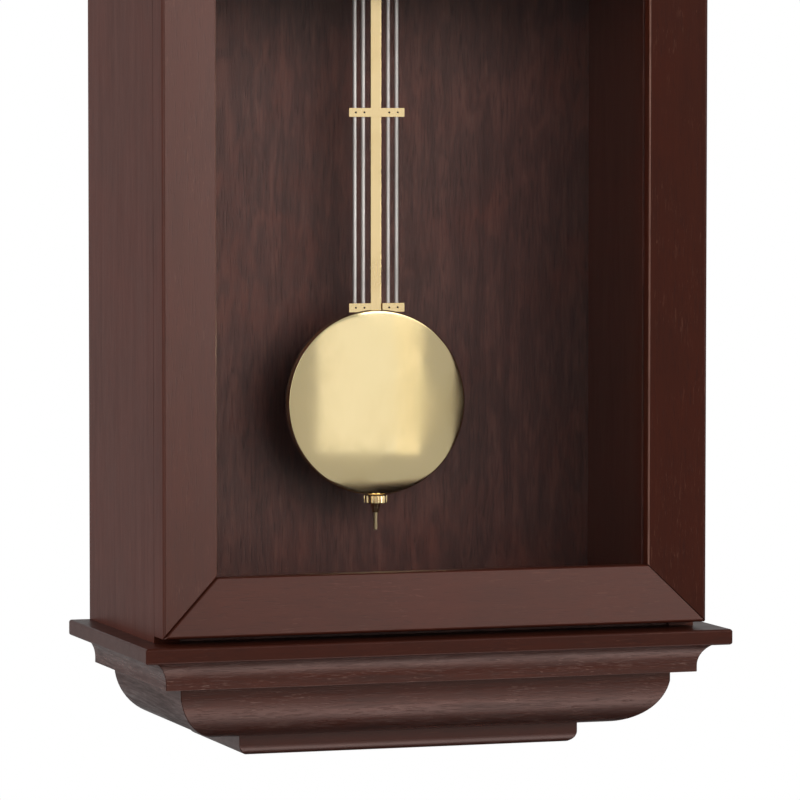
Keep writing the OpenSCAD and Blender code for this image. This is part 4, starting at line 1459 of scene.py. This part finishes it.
@dataclass
class Dial:
    """The square dial with its chapter ring, numerals, corner ornaments and hands.

    Attributes:
        centre: centre of the dial, on the face of its plate.
        ring: inner and outer radius of the chapter ring.
        ring_t: thickness of the chapter ring.
        ink_t: thickness of the printed marks.
        letter: height of the numerals.
        thick: width of a numeral's thick strokes.
        thin: width of a numeral's thin strokes.
        bezel: radius of the brass ring.
        bead: radius of the brass ring's section.
        lines: inner radius of each printed ring.
        line_w: width of the printed rings.
        ink_edge: chamfer of the printed marks.
        marks: inner and outer end of the minute marks.
        mark_ws: half width of the hour marks and of the minute marks.
        letter_gap: from the chapter ring's inner edge to the numerals.
        letter_ws: room that each letter takes.
        letter_side: from the side of that room to the middle of a stroke's end.
        serif: width and thickness of the serifs.
        fan_r: from the dial's centre to the root of a corner ornament.
        leaf_turns: turn of each leaf of an ornament, in degrees.
        leaf: length, width and thickness of the middle leaf.
        leaf_loss: length and width that a leaf loses to each degree of turn.
        leaf_waist: height of a leaf's widest place, from its middle, as a share of its length.
        leaf_tip: how the half past the waist is drawn out.
        leaf_root: from the root to a leaf's middle, as a share of its length.
        boss: radius and height of the points of an ornament's boss, up to its dome.
        boss_dome: radius, height and foot of that dome.
    """

    centre: Point = (0.0, -126.8 * MM, -128.7 * MM)
    ring: Span = (78 * MM, 112.5 * MM)
    ring_t: float = 0.5 * MM
    ink_t: float = 0.12 * MM
    letter: float = 19 * MM
    thick: float = 2.5 * MM
    thin: float = 0.9 * MM
    bezel: float = 116 * MM
    bead: float = 2.2 * MM
    lines: tuple[float, ...] = (80 * MM, 104.6 * MM, 109.6 * MM)
    line_w: float = 0.45 * MM
    ink_edge: float = 0.04 * MM
    marks: Span = (105.0 * MM, 109.7 * MM)
    mark_ws: Span = (0.9 * MM, 0.25 * MM)
    letter_gap: float = 4.2 * MM
    letter_ws: tuple[tuple[str, float], ...] = (
        ("I", 4.6 * MM),
        ("V", 10.4 * MM),
        ("X", 10.4 * MM),
    )
    letter_side: float = 2.2 * MM
    serif: Span = (4.3 * MM, 0.7 * MM)
    fan_r: float = 163 * MM
    leaf_turns: tuple[int, ...] = (-62, -41, -20, 0, 20, 41, 62)
    leaf: Point = (33 * MM, 7.4 * MM, 2.6 * MM)
    leaf_loss: Span = (0.28 * MM, 0.03 * MM)
    leaf_waist: float = 0.02
    leaf_tip: Point = (0.72, 0.8, 1.15)
    leaf_root: float = 0.56
    boss: tuple[Span, ...] = (
        (0.0, 0.0),
        (5.2 * MM, 0.0),
        (5.2 * MM, 0.7 * MM),
        (4.2 * MM, 1.1 * MM),
        (3.4 * MM, 0.9 * MM),
    )
    boss_dome: Point = (3.2 * MM, 1.6 * MM, 0.9 * MM)

    def round_at(self, degrees: float) -> Matrix:
        """Gives the move from twelve o'clock at the origin to an angle of the dial."""
        turn = Matrix.Rotation(math.radians(degrees), 4, "Y")
        return Matrix.Translation(self.centre) @ turn

    def ring_piece(
        self, name: str, inner: float, outer: float, foot: float, height: float, edge: float
    ) -> Piece:
        """Turns a flat ring that lies on the dial.

        Args:
            name: what the ring is called.
            inner: inner radius.
            outer: outer radius.
            foot: height of its back above the plate.
            height: its thickness.
            edge: chamfer of its edges.

        Returns:
            The ring.
        """
        top = foot + height
        section = [
            (inner, foot),
            (outer, foot),
            (outer, top - edge),
            (outer - edge, top),
            (inner + edge, top),
            (inner, top - edge),
            (inner, foot),
        ]
        return turned(name, section, self.centre, FRONT, steps=128)

    def face(self) -> None:
        """Dresses the board and plate and lays the chapter ring and its track."""
        dressed("dial_board", INNER_WOOD.along(Grain.UPRIGHT, 16.7), ease=0.4 * MM)
        dressed("dial_plate", DIAL_CREAM, ease=0.2 * MM)
        chapter = self.ring_piece(
            "chapter_ring", *self.ring, foot=0.0, height=self.ring_t, edge=0.15 * MM
        )
        smoothed(chapter)
        fitted(chapter, "case", "dial", CHAPTER_WHITE)
        lines = [
            self.ring_piece("line", r, r + self.line_w, self.ring_t, self.ink_t, edge=0.03 * MM)
            for r in self.lines
        ]
        track = joined("minute_rings", lines)
        fitted(track, "case", "hands", DIAL_INK)
        fitted(self.minute_marks(), "case", "hands", DIAL_INK)

    def minute_marks(self) -> Piece:
        """Cuts one minute mark and one hour mark and copies them round the track.

        Returns:
            All the marks.
        """
        marks = []
        wide, slim = self.mark_ws
        for name, half, step, skip in (("hour", wide, 30, 0), ("minute", slim, 6, 5)):
            low = (-half, -self.ring_t - self.ink_t, self.marks[0])
            high = (half, -self.ring_t, self.marks[1])
            mark = block(name, low, high)
            eased(mark, self.ink_edge, segments=1)
            turns = [
                self.round_at(angle)
                for angle in range(0, 360, step)
                if not skip or (angle // step) % skip
            ]
            marks.append(copies(f"{name}_marks", mark, turns))
        return joined("minute_marks", marks)

    def stroke(self, foot: float, head: float, width: float, low: float, high: float) -> Piece:
        """Cuts one stroke of a numeral, upright on the twelve o'clock line.

        Args:
            foot: X of its middle at the bottom.
            head: X of its middle at the top.
            width: its width.
            low: its bottom, from the dial's centre.
            high: its top, from the dial's centre.

        Returns:
            The stroke.
        """
        back = -self.ring_t
        bar = block(
            "stroke",
            (foot - width / 2, back - self.ink_t, low),
            (foot + width / 2, back, high),
        )
        with editing(bar):
            pick(bar, lambda place: place.z > (low + high) / 2)
            bpy.ops.transform.translate(value=(head - foot, 0.0, 0.0))
        eased(bar, self.ink_edge, segments=1)
        return bar

    def numeral(self, hour: int, signs: str) -> Piece:
        """Builds a numeral from strokes and turns it to its hour.

        Args:
            hour: the hour.
            signs: the numeral's letters.

        Returns:
            The numeral.
        """
        low = self.ring[0] + self.letter_gap
        high = low + self.letter
        serif_w, serif = self.serif
        widths = dict(self.letter_ws)
        at = -sum(widths[sign] for sign in signs) / 2
        strokes = []
        for sign in signs:
            width = widths[sign]
            middle, reach = at + width / 2, width / 2 - self.letter_side
            if sign == "I":
                strokes.append(self.stroke(middle, middle, self.thick, low, high))
                ends = [(middle, low), (middle, high - serif)]
            elif sign == "V":
                strokes.append(self.stroke(middle, middle - reach, self.thick, low, high))
                strokes.append(self.stroke(middle, middle + reach, self.thin, low, high))
                ends = [(middle - reach, high - serif), (middle + reach, high - serif)]
            else:
                strokes.append(
                    self.stroke(middle + reach, middle - reach, self.thick, low, high)
                )
                strokes.append(self.stroke(middle - reach, middle + reach, self.thin, low, high))
                ends = [
                    (middle + side * reach, z) for side in (-1, 1) for z in (low, high - serif)
                ]
            for x, z in ends:
                strokes.append(self.stroke(x, x, serif_w, z, z + serif))
            at += width
        whole = joined(f"numeral_{hour}", strokes)
        whole.data.transform(self.round_at(30 * hour))
        return whole

    def numerals(self) -> None:
        """Lays the twelve numerals on the chapter ring."""
        names = ("I", "II", "III", "IIII", "V", "VI", "VII", "VIII", "IX", "X", "XI", "XII")
        for hour, signs in enumerate(names, 1):
            fitted(self.numeral(hour, signs), "case", "hands", DIAL_INK)

    def petal(self, length: float, width: float, angle: float) -> Piece:
        """Shapes one leaf of a corner ornament, which points at the dial's centre.

        Args:
            length: length of the leaf.
            width: its greatest width.
            angle: turn from the diagonal, in degrees.

        Returns:
            The leaf, with its root at the origin of the ornament.
        """
        deselect()
        bpy.ops.mesh.primitive_uv_sphere_add(segments=20, ring_count=14, radius=0.5)
        leaf = fresh("leaf")
        leaf.scale = (width, self.leaf[2], length)
        settle(leaf)
        waist = self.leaf_waist * length
        with editing(leaf):
            pick(leaf, lambda place: place.z > waist)
            bpy.ops.transform.resize(value=self.leaf_tip, center_override=(0.0, 0.0, waist))
            bpy.ops.mesh.select_all(action="SELECT")
            bpy.ops.mesh.bisect(
                plane_co=MIDDLE, plane_no=BACK, threshold=WELD, clear_outer=True, use_fill=True
            )
            close_up()
        leaf.data.transform(Matrix.Translation((0.0, 0.0, length * self.leaf_root)))
        leaf.data.transform(Matrix.Rotation(math.radians(angle), 4, "Y"))
        return leaf

    def corners(self) -> None:
        """Builds a brass fan of leaves once and copies it to the four corners."""
        length, width, _ = self.leaf
        shorter, slimmer = self.leaf_loss
        leaves = [
            self.petal(length - shorter * abs(turn), width - slimmer * abs(turn), turn)
            for turn in self.leaf_turns
        ]
        radius, rise, foot = self.boss_dome
        dome = [
            (radius * math.cos(turn), foot + rise * math.sin(turn))
            for turn in map(math.radians, range(0, 91, 15))
        ]
        boss = turned("boss", [*self.boss, *dome], MIDDLE, FRONT, steps=32)
        fan = joined("fan", [*leaves, boss])
        fan.data.transform(Matrix.Translation((0.0, 0.0, -self.fan_r)))
        turns = [self.round_at(angle) for angle in (45, 135, 225, 315)]
        ornament = copies("corner_ornaments", fan, turns)
        smoothed(ornament, angle=40)
        fitted(ornament, "case", "brass", BRASS)

    def bezel_ring(self) -> None:
        """Turns the half-round brass ring more finely than the CAD one."""
        section = [(self.bezel - self.bead, 0.0), (self.bezel + self.bead, 0.0)] + [
            (self.bezel + self.bead * math.cos(turn), self.bead * math.sin(turn))
            for turn in map(math.radians, range(12, 181, 12))
        ]
        ring = turned("dial_bezel_piece", section, self.centre, FRONT, steps=144)
        smoothed(ring, angle=50)
        fitted(ring, "case", "brass", BRASS, "dial_bezel")

    def hands(self) -> None:
        """Dresses the hands, their cap and the nut under them."""
        for hand in ("minute_hand", "hour_hand"):
            dressed(hand, HAND_BLACK, ease=0.16 * MM)
        dressed("bushing_nut", BRASS, ease=0.35 * MM)

    def build(self) -> None:
        """Builds the whole dial."""
        self.face()
        self.numerals()
        self.corners()
        self.bezel_ring()
        self.hands()


@dataclass
class Pendulum:
    """The grid pendulum: strip, rods, bars, bob, rating screw and nut.

    Attributes:
        plane: Y of its middle plane.
        rod_xs: X of the four rods.
        rod: radius of the rods.
        rod_zs: lower and upper end of the rods.
        bar_zs: middles of the pin holes in the bars.
        bar_y: Y of the bars' front.
        bob_z: height of the bob's centre.
        bob: radius of the bob.
        dome: radius of its domed face.
        rim: radius of its rounded rim.
        skirt: depth of its straight skirt.
        skirt_y: Y of the skirt's back edge.
        shell: thickness of its sheet.
        bob_steps: flats along its domed face and round its rim.
        thread: radius of the rating screw.
        thread_zs: lower and upper end of the rating screw.
        pitch: pitch of the rating screw.
        thread_depth: depth of its thread.
        thread_from: height above its lower end at which the thread starts.
        plain: length of the screw that has no thread.
        rod_tip: chamfer of the rods' ends.
        pin_sink: how far the pins' feet lie behind the bars' front.
        slot: half width, half thickness and depth of the slot for the strip.
        hole: radius of the hole for the rating screw.
        hole_zs: lower and upper end of the hole's cutter.
        hole_up: height of that cutter's foot above the bob's lower edge.
        back_rim: how far the back plate lies inside the bob's edge.
    """

    plane: float = -43 * MM
    rod_xs: tuple[float, ...] = (-12.8 * MM, -7.6 * MM, 7.6 * MM, 12.8 * MM)
    rod: float = 1.2 * MM
    rod_zs: Span = (-449.9 * MM, -219.35 * MM)
    bar_zs: tuple[float, ...] = (-448.7 * MM, -335.3 * MM, -221.9 * MM)
    bar_y: float = -45.6 * MM
    bob_z: float = -504.2 * MM
    bob: float = 54 * MM
    dome: float = 300 * MM
    rim: float = 1.0 * MM
    skirt: float = 4.1 * MM
    skirt_y: float = -41.4 * MM
    shell: float = 0.9 * MM
    bob_steps: tuple[int, int] = (40, 14)
    thread: float = 1.25 * MM
    thread_zs: Span = (-578.8 * MM, -539.2 * MM)
    pitch: float = 0.7 * MM
    thread_depth: float = 0.15 * MM
    thread_from: float = 0.8 * MM
    plain: float = 1.5 * MM
    rod_tip: float = 0.5 * MM
    pin_sink: float = 0.7 * MM
    slot: Point = (3.55 * MM, 1.3 * MM, 8 * MM)
    hole: float = 1.35 * MM
    hole_zs: Span = (-9 * MM, 2 * MM)
    hole_up: float = 7 * MM
    back_rim: float = 0.2 * MM

    def grid(self) -> None:
        """Turns one rod and one pin, copies them, and dresses the strip and bars."""
        low, high = self.rod_zs
        tip = self.rod_tip
        section = [
            (0.0, low),
            (self.rod - tip, low),
            (self.rod, low + tip),
            (self.rod, high - tip),
            (self.rod - tip, high),
            (0.0, high),
        ]
        rod = turned("rod", section, (0.0, self.plane, 0.0), UP, steps=32)
        rods = copies("grid_rods_piece", rod, shifts(*((x, 0.0, 0.0) for x in self.rod_xs)))
        smoothed(rods, angle=40)
        fitted(rods, "pendulum", "steel", STEEL, "grid_rods")
        dressed("pendulum_strip", BRASS, ease=0.3 * MM)
        dressed("grid_bars", replace(BRASS, grain=Grain.ACROSS), ease=0.25 * MM)
        head = [
            (radius * MM, height * MM)
            for radius, height in ((0, 0), (0.55, 0), (0.55, 0.3), (0.3, 0.42), (0, 0.45))
        ]
        pin = turned("pin", head, (0.0, self.bar_y + self.pin_sink, 0.0), FRONT, steps=16)
        places = [(x, 0.0, z) for x in self.rod_xs for z in self.bar_zs]
        pins = copies("grid_pins", pin, shifts(*places))
        smoothed(pins)
        fitted(pins, "pendulum", "steel", DARK_STEEL)

    def bob_section(self, inset: float) -> list[Span]:
        """Draws the bob's half section from the apex to the skirt's back edge.

        Args:
            inset: how far inside the outer face it is drawn.

        Returns:
            Radius and height of each point, with heights counted forward from the skirt's back.
        """
        big, small = self.dome - inset, self.rim - inset
        across = self.bob - self.rim
        drop = math.sqrt((self.dome - self.rim) ** 2 - across**2)
        turn = math.asin(across / (self.dome - self.rim))
        along, over = self.bob_steps
        face = [
            (big * math.sin(angle), big * math.cos(angle) - drop + self.skirt)
            for angle in (turn * step / along for step in range(along + 1))
        ]
        rest = math.pi / 2 - turn
        edge = [
            (across + small * math.sin(angle), self.skirt + small * math.cos(angle))
            for angle in (turn + rest * step / over for step in range(1, over + 1))
        ]
        return [*face, *edge, (self.bob - inset, 0.0)]

    def bob_pieces(self) -> None:
        """Spins the bob's sheet brass face and its back plate."""
        foot = (0.0, self.skirt_y, self.bob_z)
        section = [*self.bob_section(0.0), *reversed(self.bob_section(self.shell))]
        face = turned("bob_shell_piece", section, foot, FRONT, steps=192)
        top, bottom = self.bob_z + self.bob, self.bob_z - self.bob
        x, y, deep = self.slot
        front, back = self.plane - y, self.plane + y
        cut(face, block("slot", (-x, front, top - deep), (x, back, top + MM)))
        low, high = self.hole_zs
        hole = [(0.0, low), (self.hole, low), (self.hole, high), (0.0, high)]
        cut(face, turned("hole", hole, (0.0, self.plane, bottom + self.hole_up), UP, steps=24))
        smoothed(face, angle=40)
        fitted(face, "bob", "bob_brass", BOB_BRASS, "bob_shell")
        rim = self.bob - self.back_rim
        edge = [
            (rim - inside * MM, height * MM)
            for inside, height in ((0, 0), (0, 0.7), (0.3, 1), (3.2, 1), (4.0, 0.7), (4.8, 1))
        ]
        plate = [(0.0, 0.0), *edge, (0.0, MM)]
        back_plate = turned("bob_back_piece", plate, foot, BACK, steps=128)
        smoothed(back_plate)
        fitted(back_plate, "bob", "bob_brass", BOB_BRASS, "bob_back")

    def rating(self) -> None:
        """Cuts the rating screw's thread as a true helix and dresses the nut."""
        low, high = self.thread_zs
        core = self.thread - self.thread_depth
        start = (0.0, self.plane, low + self.thread_from)
        deselect()
        bpy.ops.mesh.primitive_plane_add(size=MM, location=start)
        ridge = fresh("thread")
        with editing(ridge):
            bpy.ops.mesh.select_all(action="SELECT")
            bpy.ops.mesh.merge(type="CENTER")
            bpy.ops.transform.translate(value=(core, 0.0, 0.0))
            for out in (self.thread - core, core - self.thread):
                bpy.ops.mesh.extrude_vertices_move(
                    TRANSFORM_OT_translate={"value": (out, 0.0, self.pitch / 2)}
                )
        apply(
            ridge,
            "SCREW",
            axis="Z",
            angle=math.tau,
            screw_offset=self.pitch,
            iterations=int((high - low - self.plain) / self.pitch),
            steps=20,
            render_steps=20,
            use_merge_vertices=True,
            merge_threshold=WELD,
        )
        with editing(ridge):
            close_up()
        tip = [(0.0, low), (core * 0.6, low + 0.1 * MM), (core, low + 0.7 * MM)]
        section = [*tip, (core, high), (0.0, high)]
        stem = turned("stem", section, (0.0, self.plane, 0.0), UP, steps=24)
        screw = joined("rating_screw_piece", [stem, ridge])
        smoothed(screw, angle=30)
        fitted(screw, "pendulum", "steel", DULL_BRASS, "rating_screw")
        dressed("rating_nut", BRASS, ease=0.14 * MM)

    def build(self) -> None:
        """Builds the whole pendulum."""
        self.grid()
        self.bob_pieces()
        self.rating()
        dressed("swing_lever", GEAR_PLASTIC, ease=0.25 * MM)


@dataclass
class Movement:
    """The battery chime movement and the pendulum's own drive unit.

    Attributes:
        dress: nodes that are copied, with their finish and the rounding of their edges.
        keep: nodes that keep their CAD shape, with their finish.
    """

    dress: tuple[tuple[str, Finish, float], ...] = (
        ("movement_front", BLACK_PLASTIC, 0.4 * MM),
        ("movement_rear", BLACK_PLASTIC, 0.4 * MM),
        ("drive_housing", BLACK_PLASTIC, 0.4 * MM),
        ("setting_knob", GEAR_PLASTIC, 0.0),
        ("volume_slider", GEAR_PLASTIC, 0.3 * MM),
        ("drive_pivot", STEEL, 0.2 * MM),
        ("speaker", BLACK_PLASTIC, 0.5 * MM),
        ("batteries", CELL, 0.4 * MM),
        ("centre_wheel", GEAR_PLASTIC, 0.0),
        ("third_wheel", GEAR_PLASTIC, 0.0),
        ("fourth_wheel", GEAR_PLASTIC, 0.0),
        ("hour_wheel", GEAR_PLASTIC, 0.0),
        ("minute_wheel", GEAR_PLASTIC, 0.0),
        ("minute_cannon", BRASS, 0.0),
        ("rotor", STEEL, 0.0),
        ("coils", COPPER, 0.0),
    )
    keep: tuple[tuple[str, Finish], ...] = (("motor_stator", STEEL), ("circuit_board", CIRCUIT))

    def build(self) -> None:
        """Dresses the housings, controls and train, and finishes the motor and board."""
        for node, finish, ease in self.dress:
            dressed(node, finish, ease)
        for node, finish in self.keep:
            kept(node, finish)


# The studio


# Watts for each square metre of a lamp's face at a radiance of 1
LAMP_POWER = 4.0


class Light(Enum):
    """The surfaces that a lamp lights."""

    ALL = "all"
    MATT = "matt"
    SHINY = "shiny"


@dataclass(frozen=True)
class Lamp:
    """A soft box, placed by its direction from the clock.

    Attributes:
        name: what it is called.
        light: the surfaces that it lights.
        azimuth: degrees to the viewer's right of straight in front.
        elevation: degrees above level.
        distance: distance from the clock.
        width: width of its face.
        height: height of its face.
        radiance: brightness of its face, where the white background is 1.
        colour: colour of its light.
    """

    name: str
    light: Light
    azimuth: float
    elevation: float
    distance: float
    width: float
    height: float
    radiance: float
    colour: Colour = WHITE

    def hang(self, target: Vector) -> None:
        """Hangs the lamp so that it faces the clock.

        Args:
            target: the point that it faces.
        """
        side, rise = math.radians(self.azimuth), math.radians(self.elevation)
        way = Vector(
            (math.cos(rise) * math.sin(side), -math.cos(rise) * math.cos(side), math.sin(rise))
        )
        data = bpy.data.lights.new(self.name, "AREA")
        data.shape = "RECTANGLE"
        data.size = self.width
        data.size_y = self.height
        data.energy = LAMP_POWER * self.width * self.height * self.radiance
        data.color = self.colour
        lamp = bpy.data.objects.new(self.name, data)
        lamp.location = target + way * self.distance
        lamp.rotation_euler = way.to_track_quat("Z", "Y").to_euler()
        lamp.visible_camera = False
        lamp.visible_glossy = self.light is not Light.MATT
        lamp.visible_diffuse = self.light is not Light.SHINY
        bpy.context.collection.objects.link(lamp)


@dataclass
class Studio:
    """The camera, lamps, white surround and pale floor.

    Attributes:
        eye: where the camera stands.
        yaw: degrees that it looks to the right of straight in.
        pitch: degrees that it looks down.
        roll: degrees that it leans.
        lens: focal length in millimetres.
        target: the point that the lamps face.
        ambient: level of the white surround as light on matt surfaces.
        sheen: level of the white surround in reflections.
        floor_z: height of the floor.
        floor_painted_glow: level of the floor's painted glow in reflections, in front of the clock
            and under it, where the low level paints the clock's shadow.
        floor_ys: Y between which the floor falls from the first level to the second.
        floor_r: radius of the floor.
        floor_fade: shares of that radius between which the floor fades out.
        floor_tones: colours of the floor.
        floor_rough: roughness of the floor.
        sensor: width of the camera's sensor in millimetres.
        clip: nearest and farthest distance that the camera sees.
        lamps: the soft boxes.
    """

    eye: Point = (-0.892, -2.794, -0.336)
    yaw: float = 18.25
    pitch: float = 3.3
    roll: float = 0.02
    lens: float = 223.5
    target: Point = (0.0, -0.1, -0.42)
    ambient: float = 0.15
    sheen: float = 0.46
    floor_z: float = -1.3
    floor_painted_glow: Span = (1.0, 0.02)
    floor_ys: Span = (-0.6, -0.1)
    floor_r: float = 1.9
    floor_fade: Span = (0.45, 0.98)
    floor_tones: tuple[Colour, Colour] = ((0.84, 0.84, 0.83), (0.8, 0.8, 0.79))
    floor_rough: float = 0.8
    sensor: float = 36.0
    clip: Span = (0.05, 60.0)
    lamps: tuple[Lamp, ...] = (
        Lamp("front_key", Light.MATT, 5, 19, 2.2, 0.8, 0.9, 5.8),
        Lamp("side_key", Light.MATT, 31, 15, 2.2, 0.5, 1.0, 7.6),
        Lamp("right_lamp", Light.MATT, 60, 22, 2.2, 1.0, 1.4, 0.8),
        Lamp("right_sheen", Light.SHINY, 48, 9, 2.2, 0.4, 1.4, 7.2),
        Lamp("left_front", Light.ALL, -42, 10, 2.2, 0.9, 1.4, 1.7),
        Lamp("left_fill", Light.MATT, -95, 12, 2.2, 1.6, 1.6, 3.8),
        Lamp("front_box", Light.SHINY, 13, -1, 2.0, 0.76, 1.22, 0.42),
        Lamp("warm_box", Light.SHINY, 27, -1, 2.0, 0.23, 1.22, 0.46, (1.0, 0.93, 0.76)),
        Lamp("high_box", Light.SHINY, 28, 26, 2.0, 0.9, 0.6, 2.6),
        Lamp("low_card", Light.SHINY, 5, -71, 0.86, 1.6, 0.38, 1.9),
    )

    def camera(self) -> None:
        """Stands the camera where the photograph was taken from."""
        data = bpy.data.cameras.new("camera")
        data.sensor_width = self.sensor
        data.lens = self.lens
        data.clip_start, data.clip_end = self.clip
        camera = bpy.data.objects.new("camera", data)
        camera.matrix_world = (
            Matrix.Translation(self.eye)
            @ Matrix.Rotation(-math.radians(self.yaw), 4, "Z")
            @ Matrix.Rotation(math.radians(90 - self.pitch), 4, "X")
            @ Matrix.Rotation(math.radians(self.roll), 4, "Z")
        )
        bpy.context.collection.objects.link(camera)
        bpy.context.scene.camera = camera

    def surround(self) -> None:
        """Makes the white surround: full white to the eye, lower in reflections and as light."""
        world = bpy.data.worlds.new("surround")
        bpy.context.scene.world = world
        world.use_nodes = True
        world.cycles.sampling_method = "NONE"
        graph = Graph(world.node_tree)
        back = next(n for n in world.node_tree.nodes if n.type == "BACKGROUND")
        ray = graph.add("ShaderNodeLightPath").outputs
        seen = graph.sums("ADD", ray["Is Camera Ray"], ray["Is Transmission Ray"])
        seen = graph.sums("MULTIPLY", seen, 1.0 - self.ambient)
        shine = graph.sums("MULTIPLY", ray["Is Glossy Ray"], self.sheen - self.ambient)
        level = graph.sums("ADD", graph.sums("ADD", seen, shine), self.ambient)
        graph.feed(back.inputs["Color"], WHITE)
        graph.feed(back.inputs["Strength"], level)

    def floor(self) -> None:
        """Lays a pale round floor that fades out at its edge."""
        deselect()
        bpy.ops.mesh.primitive_circle_add(
            vertices=96, radius=self.floor_r, fill_type="NGON", location=(0.0, 0.0, self.floor_z)
        )
        floor = settle(fresh("floor"))
        graph, shader = blank_material("pale_floor")
        skin = graph.pattern(fine_speckle(), Place=graph.mapped())
        graph.feed(shader.inputs["Base Color"], graph.mix(skin["Clouds"], *self.floor_tones))
        shader.inputs["Roughness"].default_value = self.floor_rough
        # Painted light: in reflections the floor glows, bright in front of the clock and dim under
        # and behind it, where this paints the clock's shadow.
        shine = graph.add("ShaderNodeEmission")
        parts = graph.add("ShaderNodeSeparateXYZ")
        graph.feed(parts.inputs[0], graph.mapped())
        painted_glow_level = graph.span(parts.outputs["Y"], *self.floor_ys, *self.floor_painted_glow)
        graph.feed(shine.inputs["Strength"], painted_glow_level)
        ray = graph.add("ShaderNodeLightPath").outputs
        lit = graph.either(ray["Is Glossy Ray"], shader, shine)
        length = graph.add("ShaderNodeVectorMath", operation="LENGTH")
        graph.feed(length.inputs[0], graph.mapped((1.0, 1.0, 0.0)))
        near, far = (self.floor_r * share for share in self.floor_fade)
        clear = graph.add("ShaderNodeBsdfTransparent")
        graph.show(graph.either(graph.span(length.outputs["Value"], near, far), lit, clear))
        floor.data.materials.append(bpy.data.materials["pale_floor"])

    def build(self) -> None:
        """Sets up the whole studio."""
        self.camera()
        self.surround()
        self.floor()
        for lamp in self.lamps:
            lamp.hang(Vector(self.target))
        bpy.context.scene.view_settings.view_transform = "Standard"


def main() -> None:
    """Builds the studio and every part of the clock in order."""
    logging.basicConfig(level=logging.INFO, format="%(name)s: %(message)s")
    for part in (Studio(), Case(), Door(), Dial(), Pendulum(), Movement()):
        LOG.info("building %s", type(part).__name__)
        part.build()


if __name__ == "__main__":
    main()
